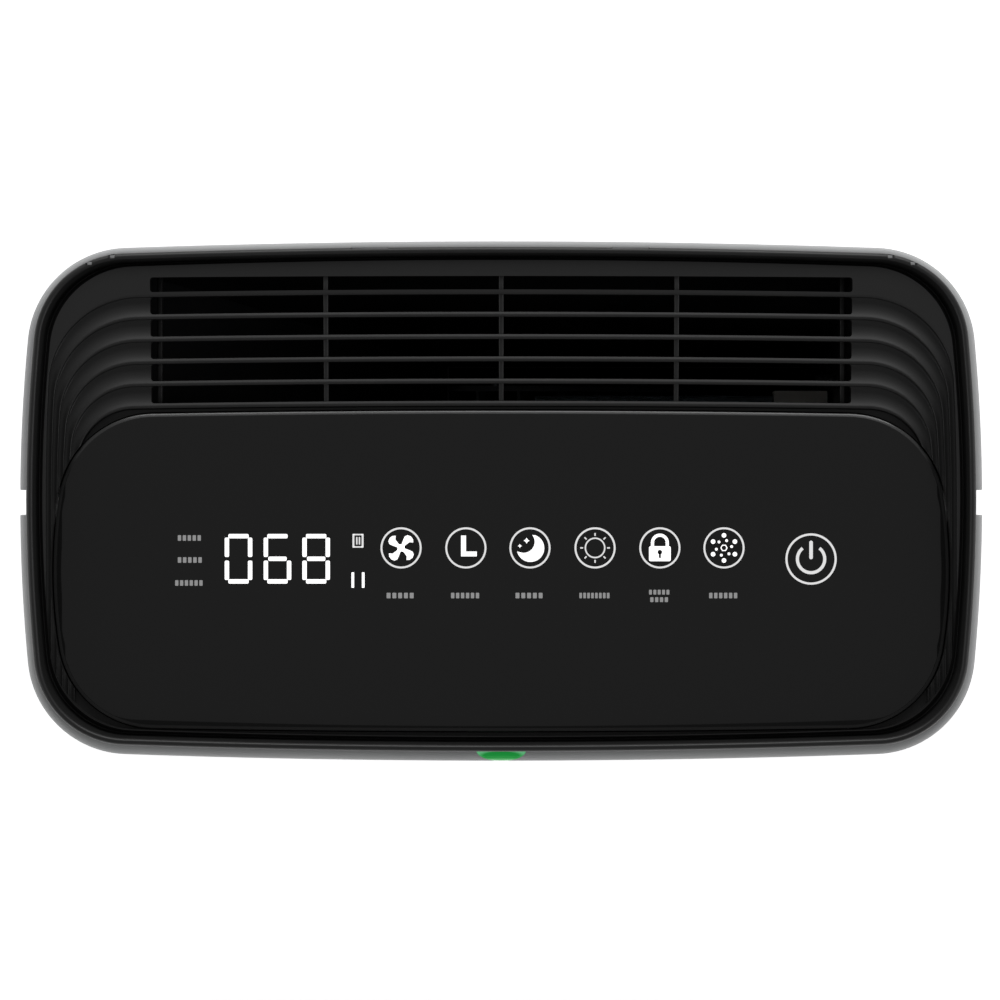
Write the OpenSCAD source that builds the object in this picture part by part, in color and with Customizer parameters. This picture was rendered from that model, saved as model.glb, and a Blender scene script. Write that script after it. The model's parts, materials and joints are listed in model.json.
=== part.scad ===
// Air purifier: a free-standing tower with side air intakes, a pull-off front cover,
// filters behind it, a centrifugal fan and a stepped outlet grille in its top.
// Millimetres, +Z up, front towards -Y, origin on the floor under the middle of the body.

/* [Body] */
// Width of the body across its sides
body_w = 400; // [390:1:480]
// Depth of the body, front to back
body_d = 216; // [212:1:260]
// Height from the floor to the top of the rim
body_h = 610; // [600:1:740]
// Radius of the four upright corners
corner_r = 42; // [36:1:50]
// How far each short side bows outwards
side_bow = 3; // [1:0.5:5]
// How far the front and the back bow outwards
face_bow = 2.7; // [1:0.1:5]
// Wall of the two outer shells
wall = 2.6; // [2.2:0.1:3.4]
// Height of the shells' lower edge above the floor
shell_z = 14; // [12:1:20]
// Width of the air gap between the front cover and the rear shell
air_gap = 10.3; // [8:0.1:13]
// Distance of the air gap's middle from the middle of the depth
air_gap_y = -0.6; // [-3:0.1:3]
// Running clearance between pieces that part from each other
clear = 0.4; // [0.3:0.05:0.6]

/* [Rim and outlet] */
// Gap between a shell's inner face and the rim, at the sides
rim_gap_side = 0.8; // [0.4:0.1:1.5]
// The same gap at the back
rim_gap_back = 0.1; // [0.1:0.1:1]
// The same gap at the front
rim_gap_front = 1.7; // [0.8:0.1:2.5]
// Height of black rim that shows above the shells
rim_show = 10; // [7:1:14]
// Drop from the rim's top to the first terrace
first_drop = 4; // [3:0.5:6]
// Drop from one terrace to the next
step_drop = 2; // [1.5:0.1:2.6]
// Distance from one grille bar to the next
bar_pitch = 9.2; // [8:0.1:10.5]
// Width of a grille bar
bar_w = 2; // [1.6:0.1:2.6]
// Height of a grille bar
bar_h = 9; // [6:0.5:10]
// Length of the slots, end to end
slot_len = 291; // [260:1:310]
// Width of the ribs that cross the slots
rib_w = 2; // [1.5:0.1:3]
// Thickness of the terraces
deck_t = 2.2; // [1.8:0.1:2.6]

/* [Control panel] */
// Width of the panel
panel_w = 372.6; // [350:0.1:374]
// Depth of the panel
panel_d = 133.6; // [120:0.1:134]
// Corner radius of the panel
panel_r = 40; // [30:1:46]
// Thickness of the panel
panel_t = 3; // [2:0.5:4]
// Depth of the tray below the panel
tray_h = 14; // [12:1:18]

/* [Filters] */
// Width of the filter cassette
filter_w = 320; // [290:1:330]
// Height of the filter cassette
filter_h = 360; // [330:1:380]
// Thickness of the filter cassette
filter_t = 42; // [34:1:48]
// Thickness of the pre-filter
pre_t = 6; // [4:0.5:8]
// Depth of the air space behind the front cover
plenum = 9.4; // [8:0.1:14]
// Height of the filter cassette's foot above the floor
filter_z = 44; // [42:1:60]
// Distance from one pleat to the next
pleat_pitch = 5; // [4:0.5:8]

/* [Fan and motor] */
// Outer radius of the impeller
fan_r = 110; // [96:1:112]
// Axial length of the impeller
fan_len = 80; // [66:1:84]
// Number of impeller blades
blades = 36; // [24:1:44]
// Smallest gap between the impeller and its scroll
fan_gap = 10; // [7:1:12]
// How much the scroll opens out from its tongue to its outlet
scroll_grow = 30; // [22:1:32]
// Wall of the scroll halves and the duct
scroll_t = 2; // [1.6:0.1:2.6]
// Radius of the motor shaft
shaft_r = 4; // [3:0.5:5]
// Radial clearance of the shaft in its bearings
shaft_clear = 0.04; // [0.02:0.01:0.08]
// Radius of the motor can
motor_r = 39; // [34:1:44]
// Length of the motor can
motor_len = 33; // [28:1:34]

/* [Hidden] */
$fn = 48;

// Colours
cover_white = "#d9dadb";
deck_black = "#1b1b1c";
glass_black = "#111112";
inner_grey = "#8b8f92";
pcb_green = "#1d5a38";
steel = "#b9bcbf";

// Levels, from the floor up
foot_h = 6;
tray_t = 3;
base_wall_h = 22;
shell_top = body_h - rim_show;
terrace_top = body_h - first_drop;
steps = 5;                                             // bars between the first and the last terrace
last_lip = terrace_top - steps * step_drop;
panel_top = last_lip - 1;
panel_tray_z = panel_top - panel_t - tray_h;
rim_z = panel_tray_z;
frame_z = foot_h + 2 * tray_t;
duct_top = last_lip - bar_h - 1;
bay_z = filter_z - clear;
bay_top = filter_z + filter_h + clear;

// Planes, from the front to the back
front_in = -body_d / 2 + wall;
pre_y = front_in + plenum;
frame_front = pre_y + pre_t + clear;
filter_y = frame_front + 2;
seal_t = 3;
bulk_t = 3;
bulk_y = filter_y + filter_t + seal_t + clear;
scroll_y0 = bulk_y + bulk_t;
fan_y0 = scroll_y0 + 12;
fan_y1 = fan_y0 + fan_len;
scroll_y1 = fan_y1 + 10;
scroll_split = (scroll_y0 + scroll_y1) / 2;
mount_t = 3;
ear_t = 3;
motor_y = scroll_y1 + mount_t;
gap_front = air_gap_y - air_gap / 2;
gap_back = air_gap_y + air_gap / 2;
back_in = body_d / 2 - wall;

// Inner frame
frame_t = 3;
frame_in = filter_w / 2 + 6;
frame_out = frame_in + frame_t;
boss_x = frame_in - 7;
boss_r = 5;
pad_r = 6;
boss_z = [64, (filter_z + filter_h / 2) + 90, panel_tray_z - 44];
pad_y = back_in - 6.5;
screw_r = 1.9;
pilot_r = 2;
head_r = 3.8;
head_h = 2.2;

// Fan
fan_x = -3;
fan_z = filter_z + filter_h / 2;
tongue = 100;                                          // angle where the scroll starts, degrees
scroll_r = fan_r + fan_gap;
outlet_x0 = fan_x + scroll_r * cos(tongue);
outlet_x1 = fan_x + scroll_r + scroll_grow;
outlet_z = fan_z + scroll_r + 8;
eye_r = fan_r - 26;
guard_wire = 1.2;
ear_angles = [150, 195, 240, 285, 330];

// Duct mouth under the grille, inside measure
mouth_x = slot_len / 2 + 1.5;
slot_back = body_d / 2 - 14.8;
mouth_y0 = slot_back - 53.2;
mouth_y1 = slot_back + 0.8;
bar_front = body_d / 2 - 22.4;                         // front edge of the rearmost bar

// Outline of the body: bowed sides and round corners that run on into each other.
// a and b are half sizes, r the corner, sx and sy the bows, t an inset, y0 a shift in depth.
function arc(c, r, a0, a1, n, first) =
    [for (i = [first:n]) let (a = a0 + (a1 - a0) * i / n) [c[0] + r * cos(a), c[1] + r * sin(a)]];
function bow_r(c, e, r) = (c * c + e * e + 2 * r * e) / (2 * e);
function quarter(a, b, r, sx, sy, t) =
    let (cx = a - r - sx, cy = b - r - sy, ry = bow_r(cx, sy, r), rx = bow_r(cy, sx, r),
        ax = atan2(cy, cx - a + rx), ay = atan2(cx, cy - b + ry))
    concat(arc([a - rx, 0], rx - t, 0, ax, 4, 0), arc([cx, cy], r - t, ax, 90 - ay, 10, 1),
        arc([0, b - ry], ry - t, 90 - ay, 90, 5, 1));
function turn_back(q) = [for (i = [len(q) - 1:-1:0]) q[i]];
function drop_ends(q) = [for (i = [1:len(q) - 2]) q[i]];
function half_line(a, b, r, sx, sy, t) =
    let (q = quarter(a, b, r, sx, sy, t))
    concat(q, [for (i = [len(q) - 2:-1:0]) [-q[i][0], q[i][1]]]);
function outline(a, b, r, sx, sy, t = 0, y0 = 0) =
    let (h = half_line(a, b, r, sx, sy, t))
    [for (p = concat(h, [for (p = drop_ends(turn_back(h))) [p[0], -p[1]]])) [p[0], p[1] + y0]];
function body_line(t) = outline(body_w / 2, body_d / 2, corner_r, side_bow, face_bow, t);
// How far back the body's outer face lies at x
function face_at(x) = let (r = bow_r(body_w / 2 - corner_r - side_bow, face_bow, corner_r))
    body_d / 2 - r + sqrt(r * r - x * x);
rim_in = [wall + rim_gap_side, wall + rim_gap_back, wall + rim_gap_front];
function rim_line(t) = outline(body_w / 2 - rim_in[0], (body_d - rim_in[1] - rim_in[2]) / 2,
    corner_r - rim_in[0], side_bow, face_bow, t, (rim_in[2] - rim_in[1]) / 2);
bowl_in = [7.2, 6.1, 6.6];                             // the bowl's foot, in from the rim: side, back, front
bowl_y = (rim_in[2] - rim_in[1] + bowl_in[2] - bowl_in[1]) / 2;
function bowl_line(t) = outline(body_w / 2 - rim_in[0] - bowl_in[0],
    (body_d - rim_in[1] - rim_in[2] - bowl_in[1] - bowl_in[2]) / 2, corner_r - bowl_in[0], side_bow,
    face_bow, t, bowl_y);
panel_y = mouth_y0 - 1.4 - panel_d / 2 - 0.9;
function panel_line(t) = outline(panel_w / 2, panel_d / 2, panel_r, 2, 1.3, t, panel_y);
// Edge of terrace i: its back half follows the bowl, and its sides run on forwards
lip_side = body_w / 2 - 11.4;
lip_squeeze = 2.24;                                    // what each step takes off the half width
function lip_line(i, grow) =
    let (a = lip_side - lip_squeeze * i + grow, b = bar_front - bar_pitch * i + grow, r = 38 - 2.8 * i + grow)
    concat(half_line(a, b, r, 1, 1.2, 0), [[-a, -body_d], [a, -body_d]]);
function lip_z(i) = terrace_top - step_drop * i;
function at_z(line, z) = [for (p = line) [p[0], p[1], z]];
function between(la, lb, f) = [for (i = [0:len(la) - 1]) la[i] * (1 - f) + lb[i] * f];
function scroll_at(a, grow) =
    let (r = scroll_r + scroll_grow * (a - tongue) / (360 - tongue) + grow)
    [fan_x + r * cos(a), fan_z + r * sin(a)];
function scroll_line(grow) = concat([for (a = [tongue:10:360]) scroll_at(a, grow)],
    [[outlet_x1 + grow, outlet_z], [outlet_x0 - grow, outlet_z]]);
function ear_at(a) = scroll_at(a, 7);
function round_rect(w, h, r) = [for (k = [0:3], i = [0:5]) let (a = 90 * k + 18 * i)
    [(k == 0 || k == 3 ? 1 : -1) * (w / 2 - r) + r * cos(a), (k < 2 ? 1 : -1) * (h / 2 - r) + r * sin(a)]];

// A closed ring whose section runs through the given rings of points in turn
module ring_solid(rings) {
    n = len(rings[0]);
    m = len(rings);
    polyhedron(points = [for (ring = rings) each ring], faces = [for (j = [0:m - 1], i = [0:n - 1])
        let (k = (j + 1) % m, a = j * n + i, b = j * n + (i + 1) % n, c = k * n + (i + 1) % n, d = k * n + i)
        each [[a, c, b], [a, d, c]]]);
}

// A drawing in X and Z, carried from y0 back to y1
module along_y(y0, y1) {
    translate([0, y1, 0]) rotate([90, 0, 0]) linear_extrude(y1 - y0) children();
}

module rod_y(x, z, r, y0, y1) {
    translate([x, y0, z]) rotate([-90, 0, 0]) cylinder(r = r, h = y1 - y0);
}

module box(lo, hi) {
    translate(lo) cube(hi - lo);
}

module both_sides() {
    for (s = [0, 1]) mirror([s, 0, 0]) children();
}

// One turn of the shells' wall, with a rounded shoulder that closes on the rim
shoulder_h = 4.3;
lip_t = 1.8;
module shell_ring() {
    top_edge = rim_line(-0.3);
    ring_solid(concat(
        [at_z(body_line(2), shell_z), at_z(body_line(0.6), shell_z + 0.6), at_z(body_line(0), shell_z + 2)],
        [for (a = [0:15:90]) at_z(between(body_line(0), top_edge, 1 - cos(a)),
            shell_top - shoulder_h * (1 - sin(a)))],
        [at_z(between(body_line(wall), top_edge, 0.9), shell_top - lip_t),
            at_z(body_line(wall), shell_top - shoulder_h - 1), at_z(body_line(wall), shell_z)]));
}

foot_x = body_w / 2 - 60;
foot_y = body_d / 2 - 40;
module rubber_feet() {
    color("#2a2a2b") for (x = [-foot_x, foot_x], y = [-foot_y, foot_y])
        translate([x, y, 0]) union() {
            cylinder(r1 = 10, r2 = 11, h = 1);
            translate([0, 0, 1]) cylinder(r = 11, h = foot_h + 0.5);
        }
}

pin_x = 120;
pin_z = frame_z + 12;
pin_r = 3;
base_in = 9;
base_wall_t = 2.4;
module base_tray() {
    color("#3a3b3d") difference() {
        union() {
            translate([0, 0, foot_h]) linear_extrude(tray_t) polygon(body_line(base_in));
            translate([0, 0, foot_h + tray_t]) linear_extrude(tray_t) polygon(body_line(wall + clear));
            translate([0, 0, frame_z]) linear_extrude(base_wall_h) difference() {
                polygon(body_line(base_in));
                polygon(body_line(base_in + base_wall_t));
            }
        }
        for (x = [-foot_x, foot_x], y = [-foot_y, foot_y])
            translate([x, y, foot_h - 1]) cylinder(r = 11, h = 2.5);
        for (x = [-pin_x, pin_x]) rod_y(x, pin_z, pin_r + clear, -body_d / 2, -body_d / 2 + 20);
    }
}

// Magnets and switch on the plate above the filters
mag_x = 150;
mag_z = [bay_top + 20, panel_tray_z - 18];
mag_r = 5;
mag_h = 3;
plate_t = 3;
strike_t = 1.2;
switch_x = 0;
switch_z = bay_top + 20;
flange_w = body_w / 2 - wall - clear - 0.6;
module main_frame() {
    color("#2c2d2f") difference() {
        union() {
            both_sides() {
                box([frame_in, frame_front, frame_z], [frame_out, pad_y - 2, panel_tray_z]);
                box([frame_in, gap_back + 0.4, frame_z], [flange_w, gap_back + 3.4, rim_z]);
                for (z = boss_z) {
                    rod_y(boss_x, z, boss_r, scroll_split + 30, pad_y);
                    box([boss_x, scroll_split + 30, z - 1.5], [frame_in, pad_y - 2, z + 1.5]);
                }
            }
            box([-frame_in, frame_front, frame_z], [frame_in, bulk_y + bulk_t, frame_z + frame_t]);
            box([-frame_in, frame_front, bay_z - frame_t], [frame_in, bulk_y + bulk_t, bay_z]);
            box([-frame_in, frame_front, bay_top], [frame_in, bulk_y + bulk_t, bay_top + frame_t]);
            box([-frame_in, frame_front, bay_top], [frame_in, frame_front + plate_t, panel_tray_z]);
            box([-frame_in, bulk_y, frame_z], [frame_in, bulk_y + bulk_t, bay_top + frame_t]);
            both_sides()
                box([filter_w / 2 + clear, frame_front, bay_z], [frame_in, bulk_y + bulk_t, bay_top]);
        }
        translate([0, 0, frame_z - 1]) linear_extrude(base_wall_h + 1 + clear) difference() {
            square([2 * body_w, 2 * body_d], center = true);
            polygon(body_line(base_in + base_wall_t));
        }
        rod_y(fan_x, fan_z, eye_r + 8, bulk_y - 1, bulk_y + bulk_t + 1);
        for (x = [-mag_x, mag_x], z = mag_z)
            rod_y(x, z, mag_r + 1, frame_front - 1, frame_front + strike_t);
        rod_y(switch_x, switch_z, 3, frame_front - 1, frame_front + plate_t + 1);
        both_sides() for (z = boss_z) rod_y(boss_x, z, pilot_r, pad_y - 16, pad_y + 1);
        for (a = ear_angles) rod_y(ear_at(a)[0], ear_at(a)[1], pilot_r, bulk_y - 1, bulk_y + bulk_t + 1);
    }
}

// Cut-outs in the back
cup_w = 120;
cup_h = 32;
cup_deep = 25;
cup_z = bay_top + 56;
socket_x = -110;
socket_z = 64;
socket_w = 30;
socket_h = 22;
sensor_y = 45;
sensor_z = boss_z[2] - 62;
module rear_shell() {
    color(cover_white) difference() {
        union() {
            intersection() {
                shell_ring();
                box([-body_w, gap_back, 0], [body_w, body_d, body_h]);
            }
            both_sides() for (z = boss_z) rod_y(boss_x, z, pad_r, pad_y, face_at(boss_x) - wall + 0.4);
        }
        along_y(back_in - 30, body_d) translate([0, cup_z]) polygon(round_rect(cup_w + 0.3, cup_h + 0.3, 8));
        along_y(back_in - 20, body_d) translate([socket_x, socket_z])
            polygon(round_rect(socket_w + 0.3, socket_h + 0.3, 3));
        both_sides() for (z = boss_z) {
            rod_y(boss_x, z, screw_r + 0.3, pad_y - 1, body_d);
            rod_y(boss_x, z, head_r + 0.6, pad_y + 3, body_d);
        }
        for (i = [-3:3]) translate([0, sensor_y, sensor_z + 5 * i])
            box([-body_w, -14, -1], [-body_w / 2 + 12, 14, 1]);
    }
}

// Black rim: an upright skirt, a rounded top and an inner wall that leads down to the terraces
rim_t = 2.4;
module top_rim() {
    color(deck_black) difference() {
        ring_solid([at_z(rim_line(0), rim_z), at_z(rim_line(0), body_h - 1.6),
            at_z(rim_line(0.4), body_h - 0.6), at_z(rim_line(1.4), body_h), at_z(rim_line(2.2), body_h),
            at_z(between(rim_line(2.2), bowl_line(0), 0.25), body_h - 0.5), at_z(bowl_line(0), terrace_top),
            at_z(bowl_line(0), panel_top - 6), at_z(bowl_line(-2), panel_top - 6),
            at_z(bowl_line(-2), terrace_top - 2), at_z(rim_line(rim_t), terrace_top - 1),
            at_z(rim_line(rim_t), rim_z)]);
        along_y(-body_d, -body_d / 2 + rim_in[2] + rim_t + 1)
            translate([0, shell_top - 6]) polygon(round_rect(guide_w + 0.2, guide_h + 0.2, 2));
    }
}

module slot_zone(i) {
    intersection() {
        difference() {
            if (i == 0) translate([-slot_len / 2, 0]) square([slot_len, slot_back]);
            else polygon(lip_line(i - 1, 0));
            polygon(lip_line(i, bar_w));
        }
        translate([-slot_len / 2, mouth_y0 - 1]) square([slot_len, body_d]);
    }
}

module outlet_grille() {
    low = duct_top;
    color(deck_black) union() {
        difference() {
            union() {
                for (i = [0:steps]) {
                    translate([0, 0, lip_z(i) - deck_t]) linear_extrude(deck_t) difference() {
                        intersection() {
                            polygon(bowl_line(0));
                            if (i > 0) polygon(lip_line(i - 1, deck_t));
                        }
                        polygon(lip_line(i, 0));
                        translate([-body_w, -body_d]) square([2 * body_w, body_d - 40]);
                    }
                    translate([0, 0, lip_z(i + 1) - deck_t]) linear_extrude(step_drop + deck_t) difference() {
                        intersection() {
                            polygon(bowl_line(0));
                            polygon(lip_line(i, deck_t));
                        }
                        polygon(lip_line(i, 0));
                        translate([-body_w, -body_d]) square([2 * body_w, body_d - 40]);
                    }
                }
                // floor that closes the gap round the panel
                translate([0, 0, panel_top - 5]) linear_extrude(2) difference() {
                    polygon(bowl_line(0));
                    translate([-mouth_x, mouth_y0]) square([2 * mouth_x, mouth_y1 - mouth_y0]);
                }
                // collar round the slots, down to the duct
                translate([0, 0, low]) linear_extrude(lip_z(steps) - low - 1) difference() {
                    translate([-mouth_x - scroll_t, mouth_y0 - scroll_t])
                        square([2 * (mouth_x + scroll_t), mouth_y1 - mouth_y0 + 2 * scroll_t]);
                    translate([-mouth_x, mouth_y0]) square([2 * mouth_x, mouth_y1 - mouth_y0]);
                }
                both_sides() translate([mouth_x, 0, 0]) rotate([90, 0, 90]) linear_extrude(scroll_t)
                    polygon([[mouth_y0, low + 2], [mouth_y1, low + 2], [mouth_y1, lip_z(0) - 1],
                        [bar_front, lip_z(0) - 1], [mouth_y0, lip_z(steps) - 1]]);
                box([-mouth_x - scroll_t, mouth_y1, low + 2],
                    [mouth_x + scroll_t, mouth_y1 + scroll_t, lip_z(0) - 1]);
            }
            for (i = [0:steps]) translate([0, 0, low - 1]) linear_extrude(body_h - low) slot_zone(i);
            translate([0, 0, rim_z - 10]) linear_extrude(60) polygon(panel_line(-0.5));
        }
        for (i = [0:steps - 1]) translate([0, 0, lip_z(i) - bar_h]) linear_extrude(bar_h) intersection() {
            difference() {
                polygon(lip_line(i, bar_w));
                polygon(lip_line(i, 0));
            }
            translate([-mouth_x, 0]) square([2 * mouth_x, body_d]);
        }
        for (x = [-slot_len / 4, 0, slot_len / 4]) translate([x - rib_w / 2, 0, 0]) rotate([90, 0, 90])
            linear_extrude(rib_w) polygon([[mouth_y0, lip_z(steps) - bar_h + 0.5],
                [mouth_y0, lip_z(steps) - 1.2], [bar_front, lip_z(0) - 1.2], [mouth_y1, lip_z(0) - 1.2],
                [mouth_y1, lip_z(0) - bar_h + 0.5]]);
    }
}

tray_wall = 2.4;
module panel_tray() {
    color(deck_black) difference() {
        translate([0, 0, panel_tray_z]) linear_extrude(tray_h) polygon(panel_line(0.6));
        translate([0, 0, panel_tray_z + 2]) linear_extrude(tray_h) polygon(panel_line(0.6 + tray_wall));
        box([ribbon_x - 13, ribbon_y - 2, 0], [ribbon_x + 13, ribbon_y + 3, body_h]);
    }
}

// Glossy panel with a bevelled edge
module control_panel() {
    color(glass_black) ring_cap([at_z(panel_line(0), panel_top - panel_t), at_z(panel_line(0), panel_top - 1),
        at_z(panel_line(0.5), panel_top - 0.3), at_z(panel_line(1.4), panel_top)]);
}

// A solid skinned up through rings of points and closed flat at both ends
module ring_cap(rings) {
    n = len(rings[0]);
    m = len(rings);
    polyhedron(points = [for (ring = rings) each ring], faces = concat(
        [for (j = [0:m - 2], i = [0:n - 1]) let (a = j * n + i, b = j * n + (i + 1) % n)
            each [[a, b + n, b], [a, a + n, b + n]]],
        [[for (i = [0:n - 1]) i]], [[for (i = [n - 1:-1:0]) (m - 1) * n + i]]));
}

// Smile shaped lens in the front cover's shoulder
lens_w = 20.7;
lens_h = 4.8;
module lens_shape(grow) {
    polygon(concat([[-lens_w / 2 - grow, 8], [-lens_w / 2 - grow, 0]],
        [for (a = [190:10:350]) [(lens_w / 2 + grow) * cos(a), (lens_h + grow) * sin(a)]],
        [[lens_w / 2 + grow, 0], [lens_w / 2 + grow, 8]]));
}

module front_cover() {
    color(cover_white) difference() {
        union() {
            intersection() {
                shell_ring();
                box([-body_w, -body_d, 0], [body_w, gap_front, body_h]);
            }
            for (x = [-mag_x, mag_x], z = mag_z)
                rod_y(x, z, mag_r + 2, wall - 0.6 - face_at(x), frame_front - clear - 0.5);
            rod_y(switch_x, switch_z, 5, front_in - 0.6, plunger_tip - clear);
            for (x = [-pin_x, pin_x]) rod_y(x, pin_z, pin_r, wall - 0.6 - face_at(x), front_in + 14);
            // stiffening ribs across the inside of the face
            for (z = [shell_z + 40, fan_z - 60, fan_z + 60, bay_top + 44])
                translate([0, 0, z]) linear_extrude(1.8) intersection() {
                    difference() {
                        polygon(body_line(wall - 0.4));
                        polygon(body_line(wall + 3.5));
                    }
                    translate([-body_w / 2 + 60, -body_d]) square([body_w - 120, body_d - 20]);
                }
        }
        along_y(-body_d, -body_d / 2 + 10) translate([0, shell_top]) lens_shape(0.1);
        for (x = [-mag_x, mag_x], z = mag_z)
            rod_y(x, z, mag_r, frame_front - clear - mag_h, frame_front);
    }
}

module indicator_lens() {
    color("#16b04a") intersection() {
        shell_ring();
        along_y(-body_d, -body_d / 2 + 10) translate([0, shell_top]) lens_shape(0);
    }
}

// Clear block that carries the light through the rim
guide_w = 18;
guide_h = 8;
guide_y = -body_d / 2 + rim_in[2] + rim_t;
guide_t = 1.6;
led_top = panel_top - 8;
module light_guide() {
    color("#e8f4ec") union() {
        along_y(guide_y - rim_t + 0.3, guide_y + guide_t)
            translate([0, shell_top - 6]) polygon(round_rect(guide_w, guide_h, 2));
        box([-guide_w / 2, guide_y + 0.1, led_top], [guide_w / 2, guide_y + guide_t, shell_top - 6]);
    }
}

module cover_magnets() {
    color(steel) for (x = [-mag_x, mag_x], z = mag_z)
        rod_y(x, z, mag_r, frame_front - clear - mag_h, frame_front - clear);
}

module strike_plates() {
    color(steel) for (x = [-mag_x, mag_x], z = mag_z)
        rod_y(x, z, mag_r + 1, frame_front, frame_front + strike_t);
}

pre_over = 3;                                          // how far the pre-filter laps the bay each way
pre_bar = 10;
pre_w = filter_w + 2 * pre_over;
pre_h = filter_h + 2 * pre_over;
mesh_t = 0.8;
mesh_in = 5;
module mesh_sheet() {
    y = pre_y + (pre_t - mesh_t) / 2;
    translate([0, 0, fan_z])
        box([mesh_in - pre_w / 2, y, mesh_in - pre_h / 2],
            [pre_w / 2 - mesh_in, y + mesh_t, pre_h / 2 - mesh_in]);
}

module prefilter_frame() {
    pane_w = pre_w / 3 - pre_bar;
    pane_h = pre_h / 3 - pre_bar;
    color("#5b5f63") difference() {
        along_y(pre_y, pre_y + pre_t) translate([0, fan_z]) polygon(round_rect(pre_w, pre_h, 6));
        for (i = [-1:1], j = [-1:1])
            translate([i * (pane_w + pre_bar * 0.7), pre_y + pre_t / 2, fan_z + j * (pane_h + pre_bar * 0.7)])
                cube([pane_w, pre_t + 2, pane_h], center = true);
        mesh_sheet();
    }
}

module prefilter_mesh() {
    color("#30343a") mesh_sheet();
}

cassette_t = 7;
carbon_t = 10;
module filter_frame() {
    color("#e9e9e6") difference() {
        along_y(filter_y, filter_y + filter_t)
            translate([0, fan_z]) polygon(round_rect(filter_w, filter_h, 4));
        box([-filter_w / 2 + cassette_t, filter_y - 1, filter_z + cassette_t],
            [filter_w / 2 - cassette_t, filter_y + filter_t + 1, filter_z + filter_h - cassette_t]);
    }
}

// Pleated paper pack behind the carbon bed
pleat_t = 1.2;
pleat_deep = filter_t - carbon_t - 6;
module hepa_pleats() {
    w = filter_w - 2 * cassette_t;
    count = floor(w / pleat_pitch / 2) * 2;
    p = w / count;
    y0 = filter_y + filter_t - 2 - pleat_deep;
    fold = [for (i = [0:count]) [-w / 2 + i * p, i % 2 == 0 ? y0 : y0 + pleat_deep - pleat_t]];
    color("#f4f3ee") translate([0, 0, filter_z + cassette_t]) linear_extrude(filter_h - 2 * cassette_t)
        polygon(concat(fold, [for (i = [count:-1:0]) fold[i] + [0, pleat_t]]));
}

module carbon_bed() {
    color("#1d1e20") box([-filter_w / 2 + cassette_t, filter_y + 1.5, filter_z + cassette_t],
        [filter_w / 2 - cassette_t, filter_y + 1.5 + carbon_t, filter_z + filter_h - cassette_t]);
}

module filter_seal() {
    color("#4a4c50") along_y(filter_y + filter_t, filter_y + filter_t + seal_t) difference() {
        translate([0, fan_z]) square([filter_w, filter_h], center = true);
        translate([0, fan_z]) square([filter_w - 18, filter_h - 18], center = true);
    }
}

tab_x = 70;
module pull_tabs() {
    color("#2e6fb0") for (x = [-tab_x, tab_x])
        box([x - 11, filter_y - 0.8, filter_z + filter_h - 34], [x + 11, filter_y, filter_z + filter_h - 1]);
}

// Bellmouth that leads the air into the impeller
ring_t = 2;
module inlet_ring() {
    color(inner_grey) translate([fan_x, bulk_y, fan_z]) rotate([-90, 0, 0]) rotate_extrude($fn = 96)
        polygon([[eye_r + 14, -ring_t], [eye_r + 14, 0], [eye_r + 8, 0], [eye_r + 8, 2], [eye_r + 5, 2.6],
            [eye_r + 2.6, 5], [eye_r + ring_t, 8], [eye_r + ring_t, 12.5], [eye_r, 12.5], [eye_r, 7],
            [eye_r + 1, 3], [eye_r + 3.6, 0], [eye_r + 8, -ring_t]]);
}

module fan_guard() {
    color(steel) translate([fan_x, bulk_y + 8, fan_z]) rotate([-90, 0, 0]) union() {
        for (r = [14:14:eye_r - 8]) rotate_extrude($fn = 72)
            translate([r, 0]) circle(r = guard_wire, $fn = 24);
        rotate_extrude($fn = 96) translate([eye_r - guard_wire, -guard_wire])
            square([guard_wire, 2 * guard_wire]);
        for (a = [0:45:315]) rotate([0, 0, a]) translate([10, 0, 0]) rotate([0, 90, 0])
            cylinder(r = guard_wire, h = eye_r - 10 - guard_wire * 0.5, $fn = 24);
        cylinder(r = 14, h = 2 * guard_wire, center = true);
    }
}

module scroll_ears(y0, y1) {
    for (a = ear_angles) rod_y(ear_at(a)[0], ear_at(a)[1], 6, y0, y1);
}

module scroll_holes(y0, y1) {
    for (a = ear_angles) rod_y(ear_at(a)[0], ear_at(a)[1], pilot_r, y0, y1);
}

module scroll_front() {
    color(inner_grey) difference() {
        union() {
            along_y(scroll_y0, scroll_split) polygon(scroll_line(scroll_t));
            scroll_ears(scroll_y0, scroll_split);
        }
        along_y(scroll_y0 + scroll_t, scroll_split + 1) polygon(scroll_line(0));
        rod_y(fan_x, fan_z, eye_r + 6, scroll_y0 - 1, scroll_y0 + scroll_t + 1);
        box([outlet_x0, scroll_y0 + scroll_t, outlet_z - 4], [outlet_x1, scroll_split + 1, outlet_z + 4]);
        scroll_holes(scroll_y0 - 1, scroll_split + 1);
    }
}

mount_pcd = motor_r + 8;
mount_angles = [90, 210, 330];
module at_mounts() {
    for (a = mount_angles) translate([fan_x + mount_pcd * cos(a), 0, fan_z + mount_pcd * sin(a)]) children();
}

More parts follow.
